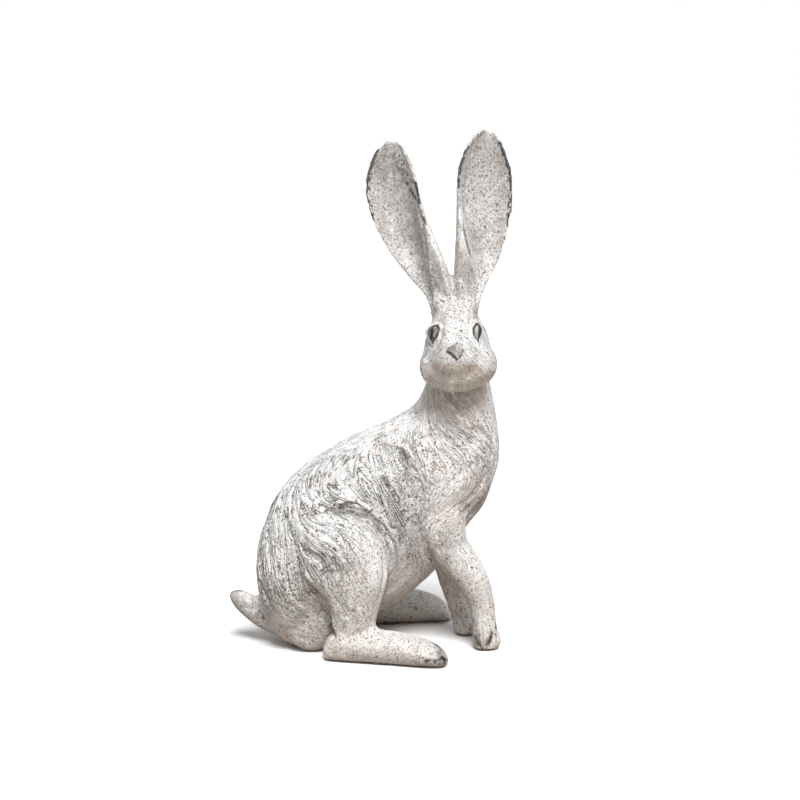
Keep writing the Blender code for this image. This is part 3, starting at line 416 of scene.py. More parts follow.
@dataclass
class Skin:
    """A mesh that is carved, with its places, normals and edges as arrays.

    Attributes:
        mesh: The mesh.
    """

    mesh: bpy.types.Mesh

    def __post_init__(self) -> None:
        """Read the mesh."""
        self.points = read_vectors(self.mesh.vertices, "co")
        self.count = len(self.points)
        pairs = np.empty(len(self.mesh.edges) * 2, np.int32)
        self.mesh.edges.foreach_get("vertices", pairs)
        self.edges = pairs.reshape(-1, 2)
        self.degree = np.maximum(np.bincount(pairs, minlength=self.count), 1)
        self.refresh()

    def refresh(self) -> None:
        """Give the mesh the moved points and read its normals again."""
        self.mesh.vertices.foreach_set("co", self.points.astype(np.float32).ravel())
        self.mesh.update()
        self.normals = read_vectors(self.mesh.vertex_normals, "vector")

    def neighbours_mean(self, values: np.ndarray) -> np.ndarray:
        """Give the mean of the neighbours' values for each vertex."""
        degree = self.degree[:, None] if values.ndim == 2 else self.degree
        return neighbours_sum(values, self.edges) / degree

    def along(self, vectors: np.ndarray) -> np.ndarray:
        """Give the part of each vertex's vector that runs along the surface."""
        return vectors - self.normals * np.einsum("ij,ij->i", vectors, self.normals)[:, None]

    def blur(self, values: np.ndarray, times: int) -> np.ndarray:
        """Soften values over the surface."""
        for _ in range(times):
            values = 0.5 * values + 0.5 * self.neighbours_mean(values)
        return values

    def relax(self, times: int, weight: np.ndarray) -> None:
        """Smooth the surface without shrinking it much.

        Args:
            times: How many rounds.
            weight: How strongly each vertex moves, from 0 to 1.
        """
        for _ in range(times):
            for factor in (0.5, -0.45):
                move = self.neighbours_mean(self.points) - self.points
                self.points += factor * weight[:, None] * move
        self.refresh()

    def push(self, distance: np.ndarray) -> None:
        """Move each vertex along its normal."""
        self.points += self.normals * distance[:, None]
        self.refresh()

    def bulge(self, times: int) -> np.ndarray:
        """Give how far each vertex stands out of the surface around it, in metres."""
        return np.sum((self.points - self.blur(self.points, times)) * self.normals, axis=1)

    def write(self, name: str, values: np.ndarray) -> None:
        """Store a mask, or a colour with its cover, on the vertices."""
        kind, field_name = ("FLOAT", "value") if values.ndim == 1 else ("FLOAT_COLOR", "color")
        layer = self.mesh.attributes.get(name) or self.mesh.attributes.new(name, kind, "POINT")
        layer.data.foreach_set(field_name, values.astype(np.float32).ravel())


@dataclass
class Comb:
    """Draws values out along directions on a skin, as a comb would.

    Attributes:
        skin: The surface.
        directions: A direction along the surface for each vertex.
        cell: Size in metres of the cells that the vertices are found through.
        rounds: How many cells around each vertex lead to it.
        step: Length of one step of the comb in metres.
    """

    skin: Skin
    directions: np.ndarray
    cell: float = 1.3 * MM
    rounds: int = 2
    step: float = 1.2 * MM

    def __post_init__(self) -> None:
        """Fill the cells."""
        points = self.skin.points
        margin = (self.rounds + 2) * self.cell
        self.low = points.min(0) - margin
        shape = np.ceil((points.max(0) + margin - self.low) / self.cell).astype(int) + 1
        self.cells = np.full(shape, -1, np.int32)
        place = self.place(points)
        self.cells[place[:, 0], place[:, 1], place[:, 2]] = np.arange(len(points))
        for _ in range(self.rounds):
            for axis in range(3):
                for step in (1, -1):
                    moved = np.roll(self.cells, step, axis)
                    np.copyto(self.cells, moved, where=self.cells < 0)

    def place(self, points: np.ndarray) -> np.ndarray:
        """Give the cell of each place."""
        return ((points - self.low) / self.cell).astype(np.int32)

    def paths(self, length: float) -> list[tuple[float, np.ndarray]]:
        """Give the vertices that lie along the comb's way from every vertex.

        Args:
            length: How far the comb goes to either side, in metres.

        Returns:
            For each step, its distance in metres and the vertex reached from every vertex.
        """
        found = []
        highest = np.array(self.cells.shape) - 1
        for sign in (1, -1):
            points = self.skin.points.copy()
            index = np.arange(len(points))
            for i in range(int(length / self.step)):
                points += sign * self.step * self.directions[index]
                place = np.clip(self.place(points), 0, highest)
                reached = self.cells[place[:, 0], place[:, 1], place[:, 2]]
                index = np.where(reached < 0, index, reached)
                normal = self.skin.normals[index]
                height = np.einsum("ij,ij->i", points - self.skin.points[index], normal)
                points -= normal * height[:, None]
                found.append(((i + 1) * self.step, index))
        return found

    @staticmethod
    def streaks(values: np.ndarray, paths: list[tuple[float, np.ndarray]], length: float) -> np.ndarray:
        """Draw values out along the comb's ways.

        Args:
            values: A value for each vertex.
            paths: The comb's ways.
            length: Length of a streak in metres.

        Returns:
            The drawn-out values, with a spread of 1 around 0.
        """
        total = values.copy()
        for distance, index in paths:
            if distance < length / 2:
                total += (0.5 + 0.5 * math.cos(2 * math.pi * distance / length)) * values[index]
        return (total - total.mean()) / total.std()


def smooth_line(places: list[Vector]) -> list[Vector]:
    """Pass a smooth curve through places and give three places for each."""
    result = []
    last = len(places) - 1
    for i in range(last):
        a, b, c, d = places[max(i - 1, 0)], places[i], places[i + 1], places[min(i + 2, last)]
        for t in (0, 1 / 3, 2 / 3):
            bend = (2 * a - 5 * b + 4 * c - d) * t * t + (3 * b - a - 3 * c + d) * t ** 3
            result.append(0.5 * (2 * b + (c - a) * t + bend))
    return result + [places[last]]


def mirrored(line: list[Vector]) -> list[Vector]:
    """Give a line's mirror image on the other side of the hare, whose hind leg stands further forward."""
    return [Vector((p.x + LEFT_LEG_ADVANCE * on_hind_leg(p), -p.y, p.z)) for p in line]


def on_hind_leg(point: Vector) -> bool:
    """Tell whether a place lies on a hind leg."""
    return point.x < HIND_LEG_FRONT and point.z < HIND_LEG_TOP


class Sight:
    """Finds places on the figure that the camera sees."""

    def __init__(self, skin: Skin) -> None:
        """Prepare the skin for lines of sight."""
        self.turn = CAMERA_TURN.to_matrix()
        self.focus = CAMERA_LENS / SENSOR_WIDTH * PICTURE_WIDTH
        form = bmesh.new()
        form.from_mesh(skin.mesh)
        self.tree = BVHTree.FromBMesh(form)
        form.free()

    def place(self, place: tuple) -> Vector:
        """Find a place on the figure.

        Args:
            place: Where it is seen as (x, z), or a spot near it as (x, y, z), in millimetres.

        Returns:
            The place in metres, which is beside the line of sight where that passes the figure by.
        """
        if len(place) == 3:
            return self.tree.find_nearest(Vector(place) * MM)[0]
        right, up = [(place[i] - SEEN_MIDDLE[i]) / SEEN_PIXEL[i] for i in (0, 1)]
        run = (self.turn @ Vector((right, up, -self.focus))).normalized()
        hit = self.tree.ray_cast(CAMERA_PLACE, run)[0]
        if hit:
            return hit
        beside = [CAMERA_PLACE + run * ((depth * MM - CAMERA_PLACE.y) / run.y) for depth in MISSED_DEPTHS]
        return min((self.tree.find_nearest(point) for point in beside), key=lambda found: found[3])[0]

    def line(self, places: tuple) -> list[Vector]:
        """Give a line on the figure through such places."""
        return [self.place(place) for place in places]

    def curve(self, places: tuple) -> list[Vector]:
        """Give a smooth curve on the figure through such places."""
        return smooth_line(self.line(places))


def stroke(points: np.ndarray, line: list[Vector], width: float, taper: float) -> np.ndarray:
    """Give how strongly a stroke along a line touches each place.

    Args:
        points: The places, one to a row.
        line: The stroke's places.
        width: Half the stroke's width in metres.
        taper: Share of the stroke at either end over which it fades.

    Returns:
        The strength from 0 to 1 for each place.
    """
    strength = np.zeros(len(points))
    corners = np.array(line)
    margin = 3 * width
    near = np.all((points > corners.min(0) - margin) & (points < corners.max(0) + margin), axis=1)
    places = points[near]
    best = np.full(len(places), np.inf)
    along = np.zeros(len(places))
    for i, (start, end) in enumerate(zip(corners, corners[1:])):
        run = end - start
        share = np.clip((places - start) @ run / max(run @ run, 1e-12), 0, 1)
        gap = np.linalg.norm(places - start - share[:, None] * run, axis=1)
        closer = gap < best
        best[closer] = gap[closer]
        along[closer] = (i + share[closer]) / (len(corners) - 1)
    fade = np.clip(np.minimum(along, 1 - along) / taper, 0.15, 1) if taper else 1
    strength[near] = np.exp(-(best / (width * np.sqrt(fade))) ** 2) * fade
    return strength


@dataclass
class Clay:
    """The figure before it is carved: the castings joined into one closed skin.

    Attributes:
        voxel: Size of the skin's faces in metres.
        rounds: How often the skin is smoothed.
    """

    voxel: float = 0.93 * MM
    rounds: int = 20

    def shape(self) -> Skin:
        """Join the castings and the added forms, and smooth the result."""
        form = bmesh.new()
        for casting in Casting:
            form.from_mesh(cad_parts[casting.value].data)
        bmesh.ops.remove_doubles(form, verts=form.verts[:], dist=0.01 * MM)
        self.close_hole(form)
        self.add_forms(form)
        thing = place_object("clay", mesh_from(form, "clay"))
        remesh = thing.modifiers.new("one_skin", "REMESH")
        remesh.mode = "VOXEL"
        remesh.voxel_size = self.voxel
        depsgraph = bpy.context.evaluated_depsgraph_get()
        mesh = bpy.data.meshes.new_from_object(thing.evaluated_get(depsgraph))
        bpy.data.objects.remove(thing)
        self.refine_face(mesh)
        skin = Skin(mesh)
        ears = smooth_step(skin.points[:, 2], *THIN_EAR_ROOTS)
        skin.relax(self.rounds, 1 - 0.75 * ears)
        return skin

    def refine_face(self, mesh: bpy.types.Mesh) -> None:
        """Split the faces of the hare's face, where the eyes and nose need finer ones."""
        low, high = FACE_BOX
        form = bmesh.new()
        form.from_mesh(mesh)
        inside = {vert for vert in form.verts
                  if all(low[i] < vert.co[i] < high[i] for i in range(3)) and vert.normal.y < -0.1}
        edges = [edge for edge in form.edges if inside.issuperset(edge.verts)]
        bmesh.ops.subdivide_edges(form, edges=edges, cuts=1, use_grid_fill=True)
        form.to_mesh(mesh)
        form.free()

    def close_hole(self, form: bmesh.types.BMesh) -> None:
        """Close the fill hole with a disc a little wider than its plug."""
        low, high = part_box("fill_plug")
        radius = (high.x - low.x) / 2 + 1 * MM
        bmesh.ops.create_cone(form, cap_ends=True, segments=32, radius1=radius, radius2=radius,
                              depth=high.z - low.z, matrix=Matrix.Translation((low + high) / 2))

    def add_forms(self, form: bmesh.types.BMesh) -> None:
        """Add the small forms that the castings' solids leave out, as eggs."""
        for middle, radii in ADDED_EGGS:
            place = Matrix.Translation(Vector(middle) * MM) @ Matrix.Diagonal((*(Vector(radii) * MM), 1))
            bmesh.ops.create_uvsphere(form, u_segments=20, v_segments=12, radius=1, matrix=place)


@dataclass
class FurFlow:
    """The direction and depth of the fur all over the skin.

    Attributes:
        reach: How far a drawn line of fur rules the skin around it, in metres.
        batch: How many vertices are worked on at a time.
    """

    reach: float = 8 * MM
    batch: int = 20000

    def segments(self, sight: Sight) -> tuple[np.ndarray, np.ndarray, np.ndarray]:
        """Give the drawn lines' pieces as middles, directions and depths."""
        drawn = [(depth, sight.line(places)) for depth, places in BACK_AND_FLANK + CHEST + SMOOTH_PARTS]
        drawn += [(depth, mirrored(line)) for depth, line in drawn]
        drawn += [(depth, sight.line(places)) for depth, places in FACE + BACK_OF_HEAD + EARS]
        middles, directions, depths = [], [], []
        for depth, line in drawn:
            for start, end in zip(line, line[1:]):
                middles.append(start.lerp(end, 0.5))
                directions.append((end - start).normalized())
                depths.append(depth)
        return np.array(middles), np.array(directions), np.array(depths)

    def spread(self, skin: Skin, sight: Sight) -> tuple[np.ndarray, np.ndarray]:
        """Spread the drawn lines over the skin.

        Args:
            skin: The surface.
            sight: The lines of sight onto it.

        Returns:
            A direction along the surface and a depth from 0 to 1 for each vertex.
        """
        middles, run, depths = self.segments(sight)
        flow = np.zeros_like(skin.points)
        depth = np.zeros(skin.count)
        lengths = (middles ** 2).sum(axis=1)
        for start in range(0, skin.count, self.batch):
            part = slice(start, start + self.batch)
            points = skin.points[part]
            apart = (points ** 2).sum(axis=1)[:, None] + lengths - 2 * points @ middles.T
            nearest = apart.min(axis=1, keepdims=True)
            weight = np.exp(-(apart - nearest) / (2 * self.reach ** 2))
            flow[part] = weight @ run
            depth[part] = (weight @ depths) / weight.sum(axis=1)
        flow = skin.along(skin.blur(flow, 10))
        flow /= np.maximum(np.linalg.norm(flow, axis=1, keepdims=True), 1e-9)
        return flow, skin.blur(depth, 10)


@dataclass
class Carver:
    """Carves the creases and the fur, and leaves masks on the skin for the paint.

    Attributes:
        skin: The surface.
        sight: The lines of sight onto it.
        lock_depth: Depth of the steps between locks of fur, in metres.
        strand_depth: Depth of the grooves between strands.
        hair_depth: Depth of the finest carved lines.
    """

    skin: Skin
    sight: Sight
    lock_depth: float = 0.90 * MM
    strand_depth: float = 1.00 * MM
    hair_depth: float = 0.22 * MM

    def carve(self) -> None:
        """Carve everything that runs over the whole figure."""
        self.carve_creases()
        self.set_eyes()
        LOG.info("creases carved")
        flow, depth = FurFlow().spread(self.skin, self.sight)
        LOG.info("fur drawn")
        self.carve_fur(flow, depth)
        LOG.info("fur carved")
        self.sight = Sight(self.skin)
        self.wear_ears()
        self.leave_masks()

    def carve_creases(self) -> None:
        """Press the creases into the skin and raise the ridges."""
        change = np.zeros(self.skin.count)
        self.crease_wash_and_shade = np.zeros(self.skin.count)
        for depth, width, wash, places in CREASES:
            line = self.sight.curve(places)
            for side in (line, mirrored(line)):
                touch = stroke(self.skin.points, side, width * MM, 0.2)
                change -= depth * MM * touch
                # The crease's wash, partly painted shade, is kept for the paint.
                self.crease_wash_and_shade = np.maximum(self.crease_wash_and_shade, wash * touch)
        self.skin.push(change)

    def set_eyes(self) -> None:
        """Set the eyes into the face."""
        self.eyes = (
            Eye(seen=(41.3, 206.6), height=5.8 * MM, width=4.0 * MM, nose_side=1, lean=-0.1, painted_highlight=0.0),
            Eye(seen=(71.0, 207.4), height=5.6 * MM, width=3.2 * MM, nose_side=-1, lean=-0.1, painted_highlight=0.6),
        )
        for eye in self.eyes:
            eye.settle(self.skin, self.sight)
        self.skin.push(sum(eye.shape() for eye in self.eyes))

    def carve_fur(self, flow: np.ndarray, depth: np.ndarray) -> None:
        """Carve locks, strands and hair along the fur.

        Args:
            flow: Direction of the fur for each vertex.
            depth: Depth of the fur for each vertex, from 0 to 1.
        """
        comb = Comb(self.skin, flow)
        paths = comb.paths(max(length for _, length in TUFTS) / 2 * MM)
        locks, strands, hairs = (
            comb.streaks(soft_noise(self.skin.points, size * MM, SEED + i), paths, length * MM)
            for i, (size, length) in enumerate(TUFTS)
        )
        self.strand = strands + 0.35 * hairs
        self.hair = hairs
        level = np.abs((0.5 * strands + 0.5) % 1 - 0.5)
        relief = self.lock_depth * np.tanh(2.2 * locks)
        relief -= self.strand_depth * hump(level, 0, 0.15)
        relief += self.hair_depth * np.tanh(1.5 * hairs)
        for eye in self.eyes:
            depth = depth * smooth_step(eye.ring, 1.2, 2.4)
        relief *= depth
        self.fur = depth
        self.groove = np.clip((self.skin.blur(relief, 6) - relief) / (0.7 * MM), 0, 1)
        self.skin.push(relief)

    def wear_ears(self) -> None:
        """Nick the ears' rims and mark them as worn."""
        ears = smooth_step(self.skin.points[:, 2], *RIM_ROOTS)
        convex = smooth_step(self.skin.bulge(16), 0.12 * MM, 0.45 * MM)
        self.rim = 0.45 * convex * ears
        for strength, places in WORN_RIMS:
            touch = self.touched(places, 3.0 * MM, 1.5, 0.15)
            self.rim = np.maximum(self.rim, strength * touch * (0.55 + 0.45 * convex))
        nicks = smooth_step(soft_noise(self.skin.points, 3.0 * MM, SEED + 3), 0.1, 0.5)
        self.skin.push(-0.9 * MM * convex * ears * nicks)

    def touched(self, places: tuple, width: float, strength: float, taper: float = 0) -> np.ndarray:
        """Give how strongly a line as seen touches each vertex, from 0 to 1, and fully in its middle."""
        return np.clip(strength * stroke(self.skin.points, self.sight.curve(places), width, taper), 0, 1)

    def areas(self, drawn: tuple) -> np.ndarray:
        """Give how far each vertex lies in drawn areas, from 0 to 1."""
        rows = [share * self.touched(places, width * MM, 1.8) for share, width, places in drawn]
        return np.maximum.reduce(rows)

    def leave_masks(self) -> None:
        """Leave on the skin what the paint needs to know."""
        skin = self.skin
        front, _, height = skin.points.T
        facing = skin.blur(skin.normals, 8)
        speckled_and_shaded = self.areas(SPECKLED_AND_SHADED_AREAS)
        # Painted shade: darker towards the bottom, on surfaces that don't face up.
        low_shade = smooth_step(height, *LOW_SHADE_HEIGHTS) * smooth_step(facing[:, 2], 0.5, -0.15)
        # Painted shade in a warm brown on surfaces that face down and in the listed areas, joined with the
        # darker bottom into one painted shade mask.
        shade_tan = np.maximum(smooth_step(facing[:, 2], 0, -0.6), self.areas(PAINTED_SHADE_AREAS))
        painted_shade = np.maximum(shade_tan, 0.6 * low_shade)
        ears = smooth_step(height, *EAR_ROOTS) * smooth_step(facing[:, 1], -0.1, -0.5)
        for places in LIPS:
            ears = ears * (1 - self.touched(places, LIP_REACH, 1.6))
        crown = band(height, *CROWN_HEIGHTS)
        head = band(height, *STROKED_HEIGHTS)
        masks = {
            # A dustier ground inside the ears' cups and on the crown; on the speckled lower parts the
            # darker ground is painted shade.
            "dust_and_shade": np.maximum.reduce([ears * (1 - self.rim), 0.4 * crown, 0.8 * speckled_and_shaded]),
            "speckled": np.maximum.reduce([ears, crown, speckled_and_shaded]),
            "groove": np.maximum(self.groove, self.crease_wash_and_shade),
            "strand": self.strand,
            "hair": self.hair,
            "worn": self.rim,
            "painted_shade": painted_shade,
            "fur": np.clip(self.fur * 1.3 + 0.18 * head * (1 - painted_shade), 0, 1),
            "warm": smooth_step(front, *WARM_FRONT) * smooth_step(height, *WARM_TOP),
            "paint": self.marks(),
        }
        for name, values in masks.items():
            skin.write(name, values)

    def marks(self) -> np.ndarray:
        """Give the colour and cover of the painted marks, some of which are painted light and shade, and of
        the eyes for each vertex.
        """
        paint = np.zeros((self.skin.count, 4))
        patchy = smooth_step(soft_noise(self.skin.points, 1.7 * MM, SEED + 4), -0.25, 0.25)
        for colour, cover, ragged, width, places in MARKS:
            touch = self.touched(places, width * MM, 1.6)
            lay_paint(paint, colour, touch * cover * (1 - ragged * patchy))
        for eye in self.eyes:
            eye.paint(self.skin.points, paint)
        return paint


def lay_paint(paint: np.ndarray, colour: tuple, cover: np.ndarray) -> None:
    """Lay a colour over the paint that is already there.

    Args:
        paint: Colour and cover for each vertex, changed in place.
        colour: The new colour.
        cover: How much of the new colour each vertex gets, from 0 to 1.
    """
    before = paint[:, 3] * (1 - cover)
    total = np.maximum(before + cover, 1e-6)
    for channel in range(3):
        paint[:, channel] = (paint[:, channel] * before + colour[channel] * cover) / total
    paint[:, 3] = before + cover


@dataclass
class Eye:
    """One eye: an upright almond, rounder towards the nose, with lids, an iris with a painted highlight and
    a narrow pupil.

    Attributes:
        seen: Where the middle of the eye is seen.
        height: Half the eye's height in metres.
        width: Half the eye's width along the skin in metres.
        nose_side: 1 where the nose is on the picture's right of the eye, -1 where it is on its left.
        lean: How far the eye's top leans towards the nose, in radians.
        painted_highlight: How strongly a painted highlight lightens the iris towards the nose, from 0 to 1.
    """

    seen: tuple
    height: float
    width: float
    nose_side: int
    lean: float
    painted_highlight: float

    def settle(self, skin: Skin, sight: Sight) -> None:
        """Find the eye's place on the skin.

        Args:
            skin: The surface.
            sight: The lines of sight onto it.
        """
        middle = np.array(sight.place(self.seen))
        near = np.linalg.norm(skin.points - middle, axis=1) < 6 * MM
        outward = skin.normals[near].mean(axis=0)
        outward /= np.linalg.norm(outward)
        upright = np.array((math.sin(self.lean) * self.nose_side, 0, math.cos(self.lean)))
        upright -= outward * (upright @ outward)
        upright /= np.linalg.norm(upright)
        across = np.cross(outward, upright)
        if across[0] * self.nose_side < 0:
            across = -across
        offset = skin.points - middle
        self.across = offset @ across / self.width
        self.upright = offset @ upright / self.height
        near = (np.abs(offset @ outward) < 9 * MM) & (skin.normals @ outward > 0)
        share = np.where(self.across > 0, 1.12, 0.88)
        roundness = 1 + 0.7 * smooth_step(self.upright, -0.4, 0.5)
        self.ring = (np.abs(self.across) / share) ** roundness + self.upright ** 2
        self.ring[~near] = 9

    def shape(self) -> np.ndarray:
        """Give how far the skin moves out for the eyeball and the lids, in metres."""
        ball = 1.0 * MM * np.clip(1 - self.ring, 0, 1) ** 0.6
        crease = -0.7 * MM * hump(self.ring, 1.0, 0.16)
        lid = 0.8 * MM * hump(self.ring, 1.45, 0.28) * smooth_step(self.upright, -1.3, 0.2)
        socket = -0.7 * MM * hump(self.ring, 2.3, 0.6)
        return ball + crease + lid + socket

    def paint(self, points: np.ndarray, colours: np.ndarray) -> None:
        """Paint the iris with its painted highlight, the pupil and the dark lines.

        Args:
            points: The skin's points.
            colours: Colour and cover for each vertex, changed in place.
        """
        mottle = 0.5 + 0.5 * soft_noise(points, 1.5 * MM, SEED + 5)
        inside = smooth_step(self.ring, 1.0, 0.82)
        lay_paint(colours, IRIS_DARK, inside)
        light = smooth_step(self.across, -0.25, 0.55)
        lay_paint(colours, IRIS_LIGHT, inside * smooth_step(mottle + 0.2 * light, 0.5, 0.75) * 0.9)
        # Painted highlight: a pale patch on the iris towards the nose.
        lay_paint(colours, EYE_HIGHLIGHT, inside * smooth_step(self.across, 0.1, 0.45) * self.painted_highlight)
        pupil = np.abs((self.across + 0.08) / 0.28) + ((self.upright + 0.05) / 0.80) ** 2
        lay_paint(colours, BLACK, inside * smooth_step(pupil, 1.2, 0.7))
        strength = smooth_step(self.upright, -0.9, 0.3) * 0.75 + 0.25
        lay_paint(colours, BLACK, np.clip(1.3 * hump(self.ring, 1.0, 0.24) * strength, 0, 1))
        corner = hump(self.upright, -0.98, 0.18) * hump(self.across, 0, 0.28)
        lay_paint(colours, BLACK, np.where(self.ring < 3, 0.9 * corner, 0))


@dataclass
class Seams:
    """The seams between the castings, drawn on the skin where the joints are.

    Attributes:
        skin: The surface.
        blur_rounds: How often the castings' shares of the skin are softened.
        rounds: How often the seams are smoothed.
    """

    skin: Skin
    blur_rounds: int = 10
    rounds: int = 12

    def draw(self) -> None:
        """Give each face of the skin to a casting and smooth the seams between them."""
        share = self.skin.blur(self.nearest_castings(), self.blur_rounds)
        mesh = self.skin.mesh
        corners = read_numbers(mesh.loops, "vertex_index")
        starts = read_numbers(mesh.polygons, "loop_start")
        owner = np.add.reduceat(share[corners], starts, axis=0).argmax(axis=1)
        layer = mesh.attributes.new("casting", "INT", "FACE")
        layer.data.foreach_set("value", owner.astype(np.int32))
        sides = np.diff(np.append(starts, len(corners)))
        self.smooth_seams(corners, np.repeat(owner, sides))

    def nearest_castings(self) -> np.ndarray:
        """Give a row for each vertex with a 1 in the column of the casting that is nearest to it."""
        form = bmesh.new()
        ends = []
        for casting in Casting:
            form.from_mesh(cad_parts[casting.value].data)
            ends.append(len(form.faces))
        tree = BVHTree.FromBMesh(form)
        form.free()
        faces = [tree.find_nearest(Vector(point))[2] for point in self.skin.points]
        share = np.zeros((self.skin.count, len(ends)))
        share[np.arange(self.skin.count), np.searchsorted(ends, faces, side="right")] = 1
        return share

    def smooth_seams(self, corners: np.ndarray, owners: np.ndarray) -> None:
        """Slide the seams' vertices along the skin until the seams run smoothly.

        Args:
            corners: The vertex of each face corner.
            owners: The casting of each face corner.
        """
        skin = self.skin
        lowest = np.full(skin.count, len(Casting))
        highest = np.full(skin.count, -1)
        np.minimum.at(lowest, corners, owners)
        np.maximum.at(highest, corners, owners)
        seam = highest > lowest
        run = skin.edges[seam[skin.edges].all(axis=1)]
        degree = np.maximum(np.bincount(run.ravel(), minlength=skin.count), 1)
        for _ in range(self.rounds):
            move = neighbours_sum(skin.points, run) / degree[:, None] - skin.points
            skin.points += 0.5 * skin.along(move * seam[:, None])
        skin.refresh()

    def saw(self, casting: Casting) -> bpy.types.Object:
        """Give one casting as a piece of its own, closed where it joins the others.

        Args:
            casting: The casting to take.

        Returns:
            The piece, with the whole skin's normals, so that the seams don't show.
        """
        number = list(Casting).index(casting)
        form = bmesh.new()
        form.from_mesh(self.skin.mesh)
        owner = form.faces.layers.int["casting"]
        others = [face for face in form.faces if face[owner] != number]
        bmesh.ops.delete(form, geom=others, context="FACES")
        rims = [edge for edge in form.edges if edge.is_boundary]
        caps = bmesh.ops.holes_fill(form, edges=rims, sides=0)["faces"]
        for cap in caps:
            cap.smooth = False
            cap[owner] = -1
        mesh = mesh_from(form, f"{casting.value}_carved")
        mesh.materials.append(self.skin.mesh.materials[0])
        self.keep_normals(mesh)
        return place_object(mesh.name, mesh)

    def keep_normals(self, mesh: bpy.types.Mesh) -> None:
        """Give a sawn mesh the whole skin's normals, apart from its caps."""
        stored = read_vectors(mesh.attributes["skin_normal"].data, "vector")
        normals = stored[read_numbers(mesh.loops, "vertex_index")]
        for face in mesh.polygons:
            if not face.use_smooth:
                normals[list(face.loop_indices)] = face.normal
        mesh.normals_split_custom_set(normals)
        mesh.attributes.remove(mesh.attributes["skin_normal"])
        mesh.attributes.remove(mesh.attributes["casting"])


class Recipe:
    """A material's or a group's nodes, added one by one."""

    def __init__(self, tree: bpy.types.NodeTree) -> None:
        """Start with the tree that the nodes go into."""
        self.tree = tree

    def add(self, kind: str, inputs: dict | None = None, **settings: object) -> bpy.types.Node:
        """Add a node.

        Args:
            kind: The node's type without its leading ShaderNode.
            inputs: A value or an output for each input, by the input's name or number.
            settings: The node's own settings.

        Returns:
            The node.
        """
        node = self.tree.nodes.new("ShaderNode" + kind)
        for name, setting in settings.items():
            setattr(node, name, setting)
        for name, value in (inputs or {}).items():
            self.feed(node.inputs[name], value)
        return node

    def feed(self, socket: Socket, value: object) -> None:
        """Link an output to an input, or set the input's value."""
        if isinstance(value, Socket):
            self.tree.links.new(value, socket)
        else:
            socket.default_value = value

    def math(self, operation: str, *values: object) -> Socket:
        """Work out one value from others."""
        return self.add("Math", dict(enumerate(values)), operation=operation).outputs[0]

    def times(self, first: object, second: object) -> Socket:
        """Multiply two values."""
        return self.math("MULTIPLY", first, second)

    def span(self, value: object, ends: tuple, results: tuple, shape: str = "LINEAR") -> Socket:
        """Turn one span of values into another, whose ends hold beyond it."""
        inputs = {"Value": value, "From Min": ends[0], "From Max": ends[1], "To Min": results[0],
                  "To Max": results[1]}
        return self.add("MapRange", inputs, interpolation_type=shape).outputs["Result"]

    def ramp(self, value: object, low: float, high: float) -> Socket:
        """Give 0 at the low value and 1 at the high one, with a soft ramp between them."""
        return self.span(value, (low, high), (0, 1), "SMOOTHSTEP")

    def mix(self, share: object, first: object, second: object) -> Socket:
        """Mix two colours."""
        return self.add("Mix", {0: share, 6: first, 7: second}, data_type="RGBA").outputs[2]

    def cover(self, colour: object, paint: object, mask: object, strength: float) -> Socket:
        """Lay a paint over a colour where a mask is."""
        return self.mix(self.times(mask, strength), colour, paint)

    def noise(self, place: object, size: float, detail: float = 2, rough: float = 0.5) -> Socket:
        """Give a noise over space with features of a size in metres."""
        inputs = {"Vector": place, "Scale": 1 / size, "Detail": detail, "Roughness": rough}
        return self.add("TexNoise", inputs).outputs["Fac"]

    def place(self) -> Socket:
        """Give the place on the object."""
        return self.add("TexCoord").outputs["Object"]

    def mask(self, name: str) -> Socket:
        """Give a mask that the carving left on the skin."""
        return self.add("Attribute", attribute_name=name).outputs["Fac"]


class Coat(Recipe):
    """The nodes of a new material."""

    def __init__(self, name: str) -> None:
        """Start the material."""
        self.material = bpy.data.materials.new(name)
        self.material.use_nodes = True
        super().__init__(self.material.node_tree)

    def finish(self, colour: object, rough: object, bumps: tuple | None = None,
               metallic: float = 0) -> bpy.types.Material:
        """Feed the shader and give the material.

        Args:
            colour: The colour.
            rough: The roughness.
            bumps: Height, strength and depth in metres of the bumps, where there are any.
            metallic: How metallic the surface is.

        Returns:
            The material.
        """
        shader = self.tree.nodes["Principled BSDF"]
        self.feed(shader.inputs["Base Color"], colour)
        self.feed(shader.inputs["Roughness"], rough)
        self.feed(shader.inputs["Metallic"], metallic)
        if bumps:
            bump = self.add("Bump", dict(zip(("Height", "Strength", "Distance"), bumps)))
            self.feed(shader.inputs["Normal"], bump.outputs["Normal"])
        return self.material


def new_group(name: str, inputs: dict[str, str], outputs: dict[str, str]) -> tuple[Recipe, dict, dict]:
    """Start a node group.

    Args:
        name: The group's name.
        inputs: The type of each input by its name.
        outputs: The type of each output by its name.

    Returns:
        The group's recipe, its inputs' sockets and its outputs' sockets by name.
    """
    tree = bpy.data.node_groups.new(name, "ShaderNodeTree")
    for side, sockets in (("INPUT", inputs), ("OUTPUT", outputs)):
        for socket, kind in sockets.items():
            tree.interface.new_socket(name=socket, in_out=side, socket_type="NodeSocket" + kind)
    start = tree.nodes.new("NodeGroupInput")
    end = tree.nodes.new("NodeGroupOutput")
    return Recipe(tree), {s: start.outputs[s] for s in inputs}, {s: end.inputs[s] for s in outputs}


